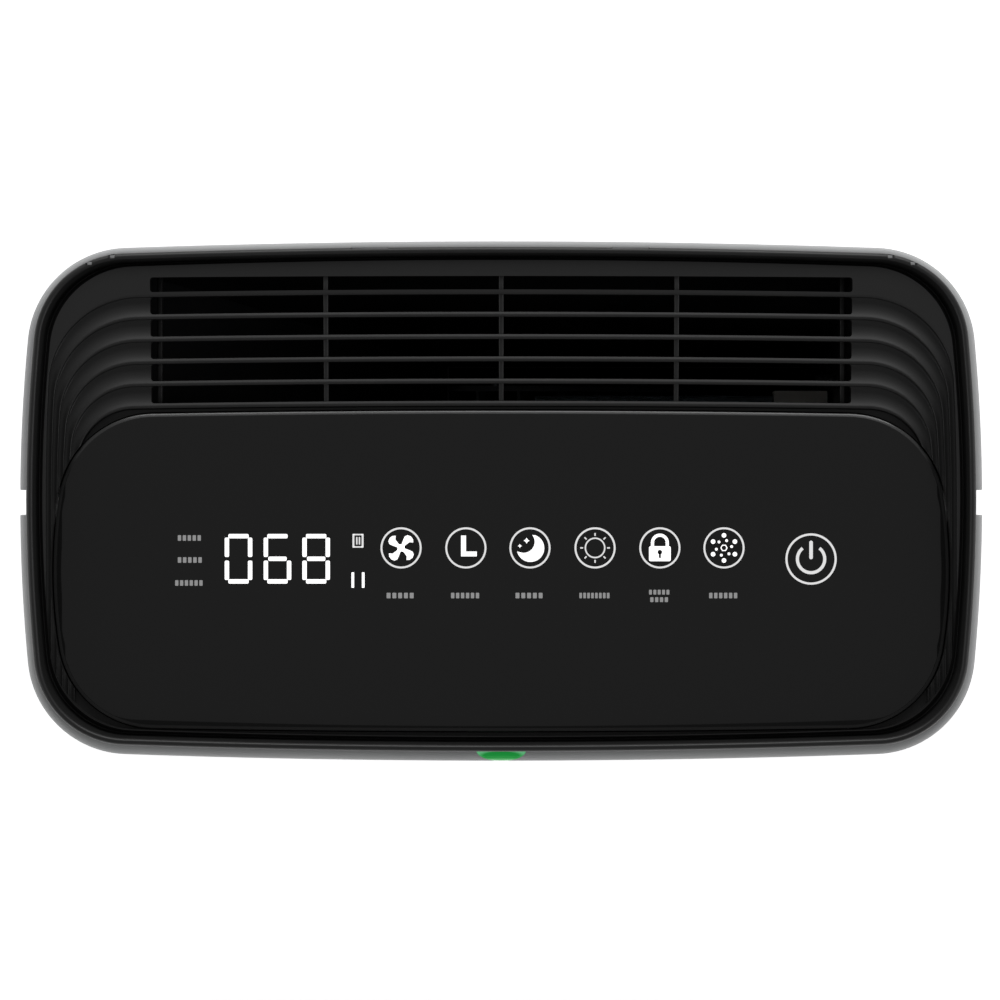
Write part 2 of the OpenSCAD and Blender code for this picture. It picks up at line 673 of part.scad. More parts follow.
module scroll_rear() {
    color(inner_grey) difference() {
        union() {
            along_y(scroll_split, scroll_y1) polygon(scroll_line(scroll_t));
            scroll_ears(scroll_split, scroll_split + 12);
            at_mounts() rod_y(0, 0, 5, scroll_y1 - scroll_t - 5, scroll_y1);
        }
        difference() {
            along_y(scroll_split - 1, scroll_y1 - scroll_t) polygon(scroll_line(0));
            at_mounts() rod_y(0, 0, 5, scroll_y1 - scroll_t - 5, scroll_y1);
        }
        rod_y(fan_x, fan_z, shaft_r + 8, scroll_y1 - scroll_t - 1, scroll_y1 + 1);
        box([outlet_x0, scroll_split - 1, outlet_z - 4], [outlet_x1, scroll_y1 - scroll_t, outlet_z + 4]);
        scroll_holes(scroll_split - 1, scroll_split + 13);
        at_mounts() rod_y(0, 0, pilot_r, scroll_y1 - scroll_t - 6, scroll_y1 + 1);
    }
}

module scroll_screws() {
    color(steel) for (a = ear_angles) {
        rod_y(ear_at(a)[0], ear_at(a)[1], screw_r, bulk_y + 0.5, scroll_split + 12);
        rod_y(ear_at(a)[0], ear_at(a)[1], head_r, scroll_split + 12, scroll_split + 12 + head_h);
    }
}

// Forward curved blades between a back plate and a front ring
blade_t = 1.4;
blade_in = fan_r - 21;
hub_len = 18;
module blade() {
    bend = 19;
    polygon(concat([for (a = [0:9:72]) [blade_in + 19 * sin(a) / sin(72), bend * (1 - cos(a)) * 0.55]],
        [for (a = [72:-9:0]) [blade_in + 19 * sin(a) / sin(72), bend * (1 - cos(a)) * 0.55 + blade_t]]));
}

module impeller() {
    color("#3d4146") translate([fan_x, fan_y0, fan_z]) rotate([-90, 0, 0]) union() {
        for (i = [0:blades - 1]) rotate([0, 0, -i * 360 / blades])
            mirror([0, 1, 0]) linear_extrude(fan_len - 1) blade();
        rotate_extrude($fn = 96) polygon([[blade_in - 1, 0], [fan_r, 0], [fan_r, 2], [blade_in - 1, 2]]);
        rotate_extrude($fn = 96) polygon([[shaft_r, fan_len - hub_len], [14, fan_len - hub_len],
            [16, fan_len - 5], [40, fan_len - 2.4], [fan_r, fan_len - 2.4], [fan_r, fan_len],
            [shaft_r, fan_len]]);
        for (a = [0:60:300]) rotate([0, 0, a]) translate([13, -1, fan_len - 14]) cube([52, 2, 13]);
    }
}

shaft_y0 = fan_y1 - hub_len - 7;
can_y0 = motor_y;
can_y1 = can_y0 + motor_len;
bearing_r = 11;
bearing_w = 7;
module motor_shaft() {
    color(steel) rod_y(fan_x, fan_z, shaft_r, shaft_y0, can_y1 - can_t - 0.3);
}

module shaft_nut() {
    color(steel) difference() {
        translate([fan_x, shaft_y0 + 2, fan_z]) rotate([-90, 0, 0])
            cylinder(r = shaft_r + 3.5, h = 5, $fn = 6);
        rod_y(fan_x, fan_z, shaft_r, shaft_y0, shaft_y0 + 9);
    }
}

can_t = 1.6;
module motor_can() {
    color("#9a9da0") union() {
        difference() {
            union() {
                rod_y(fan_x, fan_z, motor_r, can_y0, can_y1);
                intersection() {
                    rod_y(fan_x, fan_z, mount_pcd + 6, can_y0, can_y0 + ear_t);
                    at_mounts() rod_y(0, 0, 12, can_y0, can_y0 + ear_t);
                }
            }
            rod_y(fan_x, fan_z, motor_r - can_t, can_y0 + ear_t, can_y1 - can_t);
            rod_y(fan_x, fan_z, shaft_r + 2, can_y0 - 1, can_y0 + ear_t + 1);
            at_mounts() rod_y(0, 0, screw_r + 0.3, can_y0 - 1, can_y0 + ear_t + 1);
        }
        // seats that hold the bearings
        for (y = [can_y0 + ear_t - 1, can_y1 - can_t - bearing_w]) difference() {
            rod_y(fan_x, fan_z, bearing_r + 2, y, y + bearing_w + 1);
            rod_y(fan_x, fan_z, bearing_r, y - 1, y + bearing_w + 2);
        }
    }
}

module motor_bearings() {
    color("#c9ccd0") for (y = [can_y0 + ear_t, can_y1 - can_t - bearing_w]) difference() {
        rod_y(fan_x, fan_z, bearing_r, y, y + bearing_w);
        rod_y(fan_x, fan_z, shaft_r + shaft_clear, y - 1, y + bearing_w + 1);
    }
}

stator_y0 = can_y0 + ear_t + bearing_w + 1;
stator_y1 = can_y1 - can_t - bearing_w - 1;
rotor_r = 18;
module motor_stator() {
    color("#b06a35") difference() {
        rod_y(fan_x, fan_z, motor_r - can_t, stator_y0, stator_y1);
        rod_y(fan_x, fan_z, rotor_r + 0.6, stator_y0 - 1, stator_y1 + 1);
        translate([fan_x, stator_y0 - 1, fan_z]) rotate([-90, 0, 0]) for (a = [0:40:320]) rotate([0, 0, a])
            translate([rotor_r + 3, -3.5, 0]) cube([motor_r - can_t - rotor_r - 7, 7, motor_len]);
    }
}

module motor_rotor() {
    color("#4b4e52") difference() {
        rod_y(fan_x, fan_z, rotor_r, stator_y0, stator_y1);
        rod_y(fan_x, fan_z, shaft_r, stator_y0 - 1, stator_y1 + 1);
    }
}

module motor_mounts() {
    color("#202124") at_mounts() difference() {
        rod_y(0, 0, 6, scroll_y1, motor_y);
        rod_y(0, 0, screw_r + 0.3, scroll_y1 - 1, motor_y + 1);
    }
}

module motor_screws() {
    color(steel) at_mounts() union() {
        rod_y(0, 0, screw_r, scroll_y1 - 6, motor_y + ear_t);
        rod_y(0, 0, head_r, motor_y + ear_t, motor_y + ear_t + head_h);
    }
}

// Tapered duct from the scroll's outlet back and up to the grille
neck_z = duct_top - 12;
module duct_block(grow, over) {
    hull() {
        box([outlet_x0 - grow, scroll_y0 + scroll_t - grow, outlet_z - over],
            [outlet_x1 + grow, scroll_y1 - scroll_t + grow, outlet_z + 1]);
        box([-mouth_x - grow, mouth_y0 - grow, neck_z - 1], [mouth_x + grow, mouth_y1 + grow, neck_z]);
    }
    box([-mouth_x - grow, mouth_y0 - grow, neck_z - 1], [mouth_x + grow, mouth_y1 + grow, duct_top + over]);
}

module outlet_duct() {
    color(inner_grey) difference() {
        duct_block(scroll_t, 0);
        duct_block(0, 1);
        rod_x([duct_right, ion_y - 12, ion_z], brush_r + 0.2, 30);
        rod_x([duct_right, ion_y + 12, ion_z], brush_r + 0.2, 30);
    }
}

module rod_x(at, r, h) {
    translate(at) rotate([0, 90, 0]) translate([0, 0, -h / 2]) cylinder(r = r, h = h);
}

// Lamp that stands out from the duct's right wall, and the ioniser outside that wall
duct_right = min(mouth_x, outlet_x1);
lamp_z = outlet_z + 70;
lamp_y = scroll_split + 20;
lamp_r = 6;
lamp_len = 100;
lamp_root = duct_right - 26;
module uv_lamp() {
    color("#cfe4f5") union() {
        for (y = [-9, 9]) translate([lamp_root - lamp_len - lamp_r, lamp_y + y, lamp_z])
            rotate([0, 90, 0]) cylinder(r = lamp_r, h = lamp_len + lamp_r);
        rod_y(lamp_root - lamp_len, lamp_z, lamp_r - 0.8, lamp_y - 9, lamp_y + 9);
    }
}

module lamp_holder() {
    color("#e2e0da") box([lamp_root, lamp_y - 17, lamp_z - 9], [duct_right - 2.5, lamp_y + 17, lamp_z + 9]);
}

ion_y = mouth_y0;
ion_z = duct_top - 110;
brush_r = 3;
module ioniser_module() {
    color("#dcdcd8")
        box([outlet_x1 + scroll_t + 1, ion_y - 25, ion_z - 18], [frame_in, ion_y + 25, ion_z + 18]);
}

module emitter_brushes() {
    root = outlet_x1 + scroll_t + 1;
    color("#2b2b2b") for (y = [-12, 12]) translate([duct_right - 10, ion_y + y, ion_z])
        rotate([0, 90, 0]) cylinder(r = brush_r, h = 10 + root - duct_right);
}

// Boards in the panel tray
board_t = 1.6;
board_z = panel_tray_z + 6;
key_x = [-41.4, -14.6, 11.9, 38.8, 65.6, 92.1, 128.1];
key_y = panel_y + 9.3;
power_key_y = panel_y + 4.7;
disp_x = -92.5;
disp_y = panel_y + 4.9;
module control_board() {
    color(pcb_green) difference() {
        box([-150, panel_y - 26, board_z], [150, panel_y + 36, board_z + board_t]);
        for (x = [-142, 142], y = [-20, 30])
            translate([x, panel_y + y, 0]) cylinder(r = screw_r + 0.1, h = body_h);
    }
}

module display_module() {
    color("#0d0d0e")
        box([disp_x - 32, disp_y - 14, board_z + board_t], [disp_x + 32, disp_y + 14, panel_top - panel_t]);
}

module touch_springs() {
    color(steel) for (i = [0:6]) translate([key_x[i], i == 6 ? power_key_y : key_y, board_z + board_t])
        difference() {
            cylinder(r = 6, h = panel_top - panel_t - board_z - board_t);
            translate([0, 0, -1]) cylinder(r = 4.8, h = tray_h);
        }
}

module board_screws() {
    color(steel) {
        for (x = [-142, 142], y = [-20, 30]) translate([x, panel_y + y, 0]) union() {
            translate([0, 0, panel_tray_z + 2]) cylinder(r = screw_r, h = 4 + board_t);
            translate([0, 0, board_z + board_t]) cylinder(r = head_r, h = head_h);
        }
        for (x = [power_x0 + 8, power_x1 - 8], z = [power_z0 + 8, power_z1 - 8]) union() {
            rod_y(x, z, screw_r, frame_front + plate_t, power_y + board_t);
            rod_y(x, z, head_r, power_y + board_t, power_y + board_t + head_h);
        }
    }
}

module indicator_board() {
    color(pcb_green) union() {
        box([-14, guide_y + 0.1, led_top - 3], [14, guide_y + 5.6, led_top - 1.6]);
        for (x = [-6, 0, 6])
            box([x - 1.5, guide_y + 0.1, led_top - 1.6], [x + 1.5, guide_y + guide_t, led_top]);
    }
}

power_x0 = -140;
power_x1 = -20;
power_z0 = bay_top + 14;
power_z1 = bay_top + 116;
power_y = frame_front + plate_t + 5;
module power_board() {
    color("#b08a3c") difference() {
        box([power_x0, power_y, power_z0], [power_x1, power_y + board_t, power_z1]);
        for (x = [power_x0 + 8, power_x1 - 8], z = [power_z0 + 8, power_z1 - 8])
            rod_y(x, z, screw_r + 0.1, power_y - 1, power_y + board_t + 1);
    }
}

module power_components() {
    y = power_y + board_t;
    color("#33383e") union() {
        box([power_x0 + 20, y, power_z0 + 16], [power_x0 + 48, y + 22, power_z0 + 42]);
        rod_y(power_x0 + 64, power_z0 + 30, 9, y, y + 26);
        rod_y(power_x0 + 86, power_z0 + 26, 6, y, y + 18);
        rod_y(power_x0 + 100, power_z0 + 44, 6, y, y + 18);
        box([power_x0 + 24, y, power_z0 + 56], [power_x0 + 30, y + 20, power_z0 + 86]);
        box([power_x0 + 44, y, power_z0 + 58], [power_x0 + 74, y + 14, power_z0 + 82]);
        box([power_x0 + 84, y, power_z0 + 62], [power_x0 + 104, y + 9, power_z0 + 90]);
    }
}

// Cover switch: its plunger is held in by a post on the cover
plunger_tip = frame_front - 4;
plunger_r = 2.5;
switch_y = frame_front + plate_t;
module interlock_switch() {
    color("#1f2022") difference() {
        box([switch_x - 7, switch_y, switch_z - 12], [switch_x + 7, switch_y + 20, switch_z + 12]);
        rod_y(switch_x, switch_z, plunger_r + 0.3, switch_y - 1, switch_y + 12);
    }
}

module switch_plunger() {
    color("#c23b2e") rod_y(switch_x, switch_z, plunger_r, plunger_tip, switch_y + 10);
}

module dust_sensor() {
    color("#222325") difference() {
        box([-frame_out - 20, sensor_y - 23, sensor_z - 18], [-frame_out, sensor_y + 23, sensor_z + 18]);
        rod_x([-frame_out - 20, sensor_y, sensor_z], 5, 16);
    }
}

// Finger-proof grilles across the side channels, just in front of the gap
grille_y = gap_front - 4;
module intake_grilles() {
    top = rim_z - 6;
    low = frame_z + base_wall_h + 4;
    n = floor((top - low - 8) / 11);
    color("#27282a") both_sides() difference() {
        box([frame_out, grille_y, low], [flange_w, grille_y + 2, top]);
        for (i = [0:n - 1])
            translate([0, 0, low + 6 + i * 11])
                box([frame_out + 4, grille_y - 1, 0], [flange_w - 3, grille_y + 3, 8]);
    }
}

cup_mouth = body_d / 2 - 0.7;
module handle_cup() {
    color("#c9cacc") difference() {
        along_y(cup_mouth - cup_deep, cup_mouth) translate([0, cup_z]) polygon(round_rect(cup_w, cup_h, 8));
        along_y(cup_mouth - cup_deep + 2, body_d)
            translate([0, cup_z]) polygon(round_rect(cup_w - 4, cup_h - 4, 6));
    }
}

// Mains inlet for a two-pole figure-of-eight connector
pin_gap = 8.6;
socket_back = body_d / 2 - 3.2;
module inlet_socket() {
    color("#1b1b1c") difference() {
        along_y(socket_back - 20, socket_back)
            translate([socket_x, socket_z]) polygon(round_rect(socket_w, socket_h, 3));
        along_y(socket_back - 12, socket_back + 1)
            translate([socket_x, socket_z]) polygon(round_rect(17, 9.4, 4.6));
        for (s = [-1, 1]) rod_y(socket_x + s * pin_gap / 2, socket_z, 1.2, socket_back - 21, socket_back);
    }
}

module inlet_pins() {
    color(steel) for (s = [-1, 1])
        rod_y(socket_x + s * pin_gap / 2, socket_z, 1.2, socket_back - 24, socket_back - 3);
}

// A lead laid through straight runs with round turns
module lead(points, r) {
    for (i = [0:len(points) - 2]) let (v = points[i + 1] - points[i], l = norm(v))
        translate(points[i]) rotate([0, acos(v[2] / l), atan2(v[1], v[0])]) cylinder(r = r, h = l, $fn = 24);
    for (i = [1:len(points) - 2]) translate(points[i]) sphere(r = r, $fn = 24);
}

lead_y = scroll_y1 + 14;
lead_x = boss_x - 11;
module mains_lead() {
    color("#e4e4e2") union() lead([[socket_x, socket_back - 24, socket_z], [socket_x, lead_y, socket_z],
        [-lead_x, lead_y, socket_z], [-lead_x, lead_y, power_z0 + 30], [-lead_x, power_y + 20, power_z0 + 30],
        [power_x0 + 20, power_y + 20, power_z0 + 30]], 3);
}

module motor_lead() {
    color("#b5342b") union() lead([[fan_x - motor_r, motor_y + 18, fan_z], [7 - lead_x, motor_y + 18, fan_z],
        [7 - lead_x, motor_y + 18, power_z0 + 74], [7 - lead_x, power_y + 16, power_z0 + 74],
        [power_x0 + 24, power_y + 16, power_z0 + 74]], 2.5);
}

ribbon_x = -60;
ribbon_y = power_y + 16;
module ribbon_cable() {
    color("#d8d8d4") union() {
        box([ribbon_x - 10, ribbon_y, power_z1 - 10], [ribbon_x + 10, ribbon_y + 1.2, board_z]);
        box([ribbon_x - 10, power_y + board_t, power_z1 - 11.2],
            [ribbon_x + 10, ribbon_y + 1.2, power_z1 - 10]);
    }
}

module case_screws() {
    color(steel) both_sides() for (z = boss_z) union() {
        rod_y(boss_x, z, screw_r, pad_y - 15, pad_y + 3);
        rod_y(boss_x, z, head_r, pad_y + 3, pad_y + 3 + head_h);
    }
}

rubber_feet();
base_tray();
main_frame();
rear_shell();
top_rim();
outlet_grille();
panel_tray();
control_panel();
front_cover();
indicator_lens();
light_guide();
cover_magnets();
strike_plates();
prefilter_frame();
prefilter_mesh();
filter_frame();
hepa_pleats();
carbon_bed();
filter_seal();
pull_tabs();
inlet_ring();
fan_guard();
scroll_front();
scroll_rear();
impeller();
motor_shaft();
shaft_nut();
motor_can();
motor_stator();
motor_rotor();
motor_bearings();
motor_mounts();
motor_screws();
scroll_screws();
outlet_duct();
uv_lamp();
lamp_holder();
ioniser_module();
emitter_brushes();
control_board();
display_module();
touch_springs();
indicator_board();
power_board();
power_components();
board_screws();
interlock_switch();
switch_plunger();
dust_sensor();
intake_grilles();
handle_cup();
inlet_socket();
inlet_pins();
mains_lead();
motor_lead();
ribbon_cable();
case_screws();
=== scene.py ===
import bpy
import bmesh
import json
from math import radians, degrees, sin, cos, pi, atan2, sqrt
from mathutils import Vector, Matrix


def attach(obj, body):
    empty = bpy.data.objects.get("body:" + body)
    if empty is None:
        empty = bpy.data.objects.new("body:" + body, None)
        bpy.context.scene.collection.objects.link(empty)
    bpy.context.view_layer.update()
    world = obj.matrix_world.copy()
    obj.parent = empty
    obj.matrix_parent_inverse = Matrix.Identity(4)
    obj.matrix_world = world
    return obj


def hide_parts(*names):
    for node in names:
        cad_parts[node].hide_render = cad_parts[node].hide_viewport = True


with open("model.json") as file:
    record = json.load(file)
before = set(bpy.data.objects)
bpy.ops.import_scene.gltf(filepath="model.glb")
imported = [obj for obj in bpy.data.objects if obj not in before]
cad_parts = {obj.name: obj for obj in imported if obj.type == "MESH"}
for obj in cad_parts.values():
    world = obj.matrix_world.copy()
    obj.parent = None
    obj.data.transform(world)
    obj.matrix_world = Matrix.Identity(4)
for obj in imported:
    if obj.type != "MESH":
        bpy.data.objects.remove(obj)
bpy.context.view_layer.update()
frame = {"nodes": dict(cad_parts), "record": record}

nodes = frame["nodes"]
toMetres = 0.001                                 # shapes are drawn in millimetres and scaled once, at the end


def linear(hexColour, alpha=1.0):
    # sRGB hex to the linear colour that the shader wants
    parts = [int(hexColour[i:i + 2], 16) / 255 for i in (1, 3, 5)]
    return tuple(c / 12.92 if c <= 0.04045 else ((c + 0.055) / 1.055) ** 2.4 for c in parts) + (alpha,)


def addNode(tree, kind, settings=None, links=None):
    # settings are the node's own options or its sockets; links go from an output to a named socket
    node = tree.nodes.new(kind)
    for key, value in (settings or {}).items():
        if isinstance(key, str) and hasattr(node, key):
            setattr(node, key, value)
        else:
            node.inputs[key].default_value = value
    for key, source in (links or {}).items():
        tree.links.new(source, node.inputs[key])
    return node


def newMaterial(name, colour, roughness, **sockets):
    # further sockets are named with underscores for their spaces
    material = bpy.data.materials.new(name)
    material.use_nodes = True
    tree = material.node_tree
    shader = tree.nodes["Principled BSDF"]
    shader.inputs["Base Color"].default_value = linear(colour)
    shader.inputs["Roughness"].default_value = roughness
    for key, value in sockets.items():
        shader.inputs[key.replace("_", " ")].default_value = value
    return material, tree, shader


def draw(name, bm, merge=True):
    # a drawing in millimetres becomes an object, closed and with its faces outwards
    if merge:
        bmesh.ops.remove_doubles(bm, verts=bm.verts, dist=0.0005)
    bmesh.ops.recalc_face_normals(bm, faces=bm.faces)
    mesh = bpy.data.meshes.new(name)
    bm.to_mesh(mesh)
    bm.free()
    piece = bpy.data.objects.new(name, mesh)
    bpy.context.scene.collection.objects.link(piece)
    return piece


def carve(piece, tool, how="DIFFERENCE"):
    step = piece.modifiers.new("carve", "BOOLEAN")
    step.operation = how
    step.solver = "EXACT"
    step.object = tool
    bpy.context.view_layer.update()
    done = bpy.data.meshes.new_from_object(piece.evaluated_get(bpy.context.evaluated_depsgraph_get()))
    piece.modifiers.clear()
    old = piece.data
    piece.data = done
    bpy.data.meshes.remove(old)
    bpy.data.objects.remove(tool)
    return piece


def soften(piece, width, angle=50, steps=2, keep=None):
    # rounds the edges that turn by more than the angle
    bm = bmesh.new()
    bm.from_mesh(piece.data)
    bmesh.ops.dissolve_degenerate(bm, edges=bm.edges, dist=0.001)
    edges = [e for e in bm.edges if e.is_manifold and degrees(e.calc_face_angle(0)) > angle
             and (keep is None or keep(e))]
    bmesh.ops.bevel(bm, geom=edges, offset=width, offset_type="OFFSET", segments=steps, profile=0.5,
                    affect="EDGES", clamp_overlap=True, material=-1)
    bm.to_mesh(piece.data)
    bm.free()
    return piece


def finish(piece, body, material, replaces=(), smooth=32):
    mesh = piece.data
    mesh.name = piece.name
    mesh.transform(Matrix.Scale(toMetres, 4))
    mesh.materials.clear()
    mesh.materials.append(material)
    mesh.polygons.foreach_set("material_index", [0] * len(mesh.polygons))
    mesh.shade_smooth()
    mesh.set_sharp_from_angle(angle=radians(smooth))
    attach(piece, body)
    if replaces:
        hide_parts(*replaces)
    return piece


def bowRadius(c, e, r):
    return (c * c + e * e + 2 * r * e) / (2 * e)


def quarterLine(a, b, r, sx, sy, t, n=(8, 22, 12)):
    cx, cy = a - r - sx, b - r - sy
    ry, rx = bowRadius(cx, sy, r), bowRadius(cy, sx, r)
    ax, ay = atan2(cy, cx - a + rx), atan2(cx, cy - b + ry)
    runs = [((a - rx, 0), rx - t, 0, ax, n[0]), ((cx, cy), r - t, ax, pi / 2 - ay, n[1]),
            ((0, b - ry), ry - t, pi / 2 - ay, pi / 2, n[2])]
    points = []
    for c, rad, a0, a1, count in runs:
        points += [(c[0] + rad * cos(a0 + (a1 - a0) * k / count),
                    c[1] + rad * sin(a0 + (a1 - a0) * k / count))
                   for k in range(1 if points else 0, count + 1)]
    return points


def halfLine(a, b, r, sx, sy, t=0):
    q = quarterLine(a, b, r, sx, sy, t)
    return q + [(-x, y) for x, y in reversed(q[:-1])]


def fullLine(a, b, r, sx, sy, t=0, y0=0):
    h = halfLine(a, b, r, sx, sy, t)
    return [(x, y + y0) for x, y in h] + [(x, y0 - y) for x, y in reversed(h[1:-1])]


body = dict(w=400, d=216, h=610, corner=42, sideBow=3, faceBow=2.7, wall=2.6, top=600, shoulder=4.3)
rim = dict(side=3.4, back=2.7, front=4.3, low=578, wall=2.4)
bowl = dict(side=7.2, back=6.1, front=6.6)
panel = dict(w=372.6, d=133.6, corner=40, y=-29.1, top=595)
airGap = dict(front=-5.75, back=4.55)


def bodyLine(t):
    return fullLine(body["w"] / 2, body["d"] / 2, body["corner"], body["sideBow"], body["faceBow"], t)


def rimLine(t):
    return fullLine(body["w"] / 2 - rim["side"], (body["d"] - rim["back"] - rim["front"]) / 2,
                    body["corner"] - rim["side"], body["sideBow"], body["faceBow"], t,
                    (rim["front"] - rim["back"]) / 2)


def bowlLine(t):
    return fullLine(body["w"] / 2 - rim["side"] - bowl["side"],
                    (body["d"] - rim["back"] - rim["front"] - bowl["back"] - bowl["front"]) / 2,
                    body["corner"] - bowl["side"], body["sideBow"], body["faceBow"], t,
                    (rim["front"] - rim["back"] + bowl["front"] - bowl["back"]) / 2)


def panelLine(t):
    return fullLine(panel["w"] / 2, panel["d"] / 2, panel["corner"], 2, 1.3, t, panel["y"])


def between(la, lb, f):
    return [(p[0] + (q[0] - p[0]) * f, p[1] + (q[1] - p[1]) * f) for p, q in zip(la, lb)]


def layRing(bm, line, z, closed=True):
    verts = [bm.verts.new((x, y, z)) for x, y in line]
    pairs = zip(verts, verts[1:] + verts[:1]) if closed else zip(verts, verts[1:])
    return verts, [bm.edges.new(pair) for pair in pairs]


def carryRing(bm, ring, line, z):
    # extrudes a ring of edges and lays the new one along the next line
    verts, edges = ring
    made = bmesh.ops.extrude_edge_only(bm, edges=edges)["geom"]
    fresh = {v for v in made if isinstance(v, bmesh.types.BMVert)}
    moved = []
    for v, (x, y) in zip(verts, line):
        new = next(e.other_vert(v) for e in v.link_edges if e.other_vert(v) in fresh)
        new.co = (x, y, z)
        moved.append(new)
    flat = [e for e in made if isinstance(e, bmesh.types.BMEdge)
            and e.verts[0] in fresh and e.verts[1] in fresh]
    return moved, flat


def sweepRings(bm, sections, closeUp=True):
    # sections are (line, z); the last joins the first when the section is closed
    first = ring = layRing(bm, *sections[0])
    for line, z in sections[1:]:
        ring = carryRing(bm, ring, line, z)
    if closeUp:
        bmesh.ops.bridge_loops(bm, edges=first[1] + ring[1])
    return first, ring


def carryFace(bm, points, way):
    # a closed drawing, filled and carried along a way
    verts = [bm.verts.new(p) for p in points]
    edges = [bm.edges.new(pair) for pair in zip(verts, verts[1:] + verts[:1])]
    face = bmesh.ops.contextual_create(bm, geom=edges)["faces"]
    far = bmesh.ops.extrude_face_region(bm, geom=face)["geom"]
    bmesh.ops.translate(bm, vec=way, verts=[v for v in far if isinstance(v, bmesh.types.BMVert)])


def spinProfile(bm, points, cent, axis, steps, closed=False):
    # a cross line spun all the way round a line through cent
    verts = [bm.verts.new(p) for p in points]
    pairs = zip(verts, verts[1:] + verts[:1]) if closed else zip(verts, verts[1:])
    edges = [bm.edges.new(pair) for pair in pairs]
    bmesh.ops.spin(bm, geom=verts + edges, cent=cent, axis=axis, angle=2 * pi, steps=steps, use_merge=True,
                   use_duplicate=False)


def prism(name, line, z0, z1):
    bm = bmesh.new()
    carryFace(bm, [(x, y, z0) for x, y in line], (0, 0, z1 - z0))
    return draw(name, bm)


def block(bm, low, high, bevel=0.0, steps=2):
    # a box between two corners, with its edges rounded
    made = bmesh.ops.create_cube(bm, size=1)["verts"]
    size = [h - l for l, h in zip(low, high)]
    bmesh.ops.scale(bm, vec=size, verts=made)
    bmesh.ops.translate(bm, vec=[(l + h) / 2 for l, h in zip(low, high)], verts=made)
    if bevel:
        edges = list({e for v in made for e in v.link_edges})
        bmesh.ops.bevel(bm, geom=edges, offset=bevel, offset_type="OFFSET", segments=steps, profile=0.5,
                        affect="EDGES", clamp_overlap=True, material=-1)


def rodY(bm, x, z, r, y0, y1, sides=32, r2=None):
    turn = Matrix.Translation((x, (y0 + y1) / 2, z)) @ Matrix.Rotation(-pi / 2, 4, "X")
    bmesh.ops.create_cone(bm, cap_ends=True, segments=sides, radius1=r, radius2=r if r2 is None else r2,
                          depth=y1 - y0, matrix=turn)


def roundedRect(w, h, r, n=6):
    x, y = w / 2 - r, h / 2 - r
    corners = [(x, y, 0), (-x, y, 1), (-x, -y, 2), (x, -y, 3)]
    return [(cx + r * cos((k + i / n) * pi / 2), cy + r * sin((k + i / n) * pi / 2)) for cx, cy, k in corners
            for i in range(n + 1)]


def slabY(bm, line, x, z, y0, y1):
    # a flat drawing in X and Z, carried from y0 to y1
    carryFace(bm, [(x + u, y0, z + v) for u, v in line], (0, y1 - y0, 0))


print("camera, floor and light")
studio = dict(lens=217.7, height=2.5, aimX=-0.0005, aimY=0.0004, world="#727272", worldStrength=1.0,
              floor="#f4f4f4", glow=0.72)

cameraData = bpy.data.cameras.new("camera")
cameraData.lens = studio["lens"]
cameraData.sensor_width = 36
cameraData.clip_end = 30
camera = bpy.data.objects.new("camera", cameraData)
camera.location = (studio["aimX"], studio["aimY"], body["h"] * toMetres + studio["height"])
bpy.context.scene.collection.objects.link(camera)
bpy.context.scene.camera = camera

world = bpy.data.worlds.new("studio")
world.use_nodes = True
world.node_tree.nodes["Background"].inputs["Color"].default_value = linear(studio["world"])
world.node_tree.nodes["Background"].inputs["Strength"].default_value = studio["worldStrength"]
bpy.context.scene.world = world
bpy.context.scene.view_settings.view_transform = "Standard"

# a pale paper sweep: matt, with the faint grain of seamless paper
sweepPaper, tree, shader = newMaterial("seamlessPaper", studio["floor"], 0.9)
here = addNode(tree, "ShaderNodeTexCoord").outputs["Object"]
grain = addNode(tree, "ShaderNodeTexNoise", {"Scale": 900.0, "Detail": 2.0}, {"Vector": here})
addNode(tree, "ShaderNodeBump", {"Strength": 0.05, "Distance": 0.0002}, {"Height": grain.outputs["Fac"]})
shader.inputs["Emission Color"].default_value = linear("#ffffff")
shader.inputs["Emission Strength"].default_value = studio["glow"]
tree.links.new(tree.nodes["Bump"].outputs["Normal"], shader.inputs["Normal"])

bm = bmesh.new()
bmesh.ops.create_circle(bm, cap_ends=True, segments=96, radius=9000)
floor = draw("floor", bm)
floor.data.transform(Matrix.Scale(toMetres, 4))
floor.data.materials.append(sweepPaper)


def addLight(name, at, aim, size, power, colour="#ffffff"):
    data = bpy.data.lights.new(name, "AREA")
    data.shape = "RECTANGLE"
    data.size, data.size_y = size
    data.energy = power
    data.color = linear(colour)[:3]
    lamp = bpy.data.objects.new(name, data)
    lamp.location = at
    lamp.rotation_euler = (Vector(aim) - Vector(at)).to_track_quat("-Z", "Y").to_euler()
    bpy.context.scene.collection.objects.link(lamp)


addLight("backBox", (0.3, 3.0, 2.6), (0, 0, 0.5), (3.0, 1.6), 60)
addLight("rightBox", (3.0, -0.6, 2.0), (0, 0, 0.4), (2.2, 2.0), 17)
addLight("leftBox", (-3.0, -0.4, 2.0), (0, 0, 0.4), (2.2, 2.0), 12)
addLight("frontBox", (-0.6, -3.2, 1.6), (0, 0, 0.3), (2.6, 1.6), 3)


print("materials")

# Moulded ABS, light grey: satin, with the fine even spark texture of a tool and a faint cast in tone
shellAbs, tree, shader = newMaterial("shellAbsMoulded", "#c4c5c6", 0.6, Specular_IOR_Level=0.25)
here = addNode(tree, "ShaderNodeTexCoord").outputs["Object"]
# 0.6 mm grit
spark = addNode(tree, "ShaderNodeTexNoise", {"Scale": 1600.0, "Detail": 3.0, "Roughness": 0.6},
                {"Vector": here})
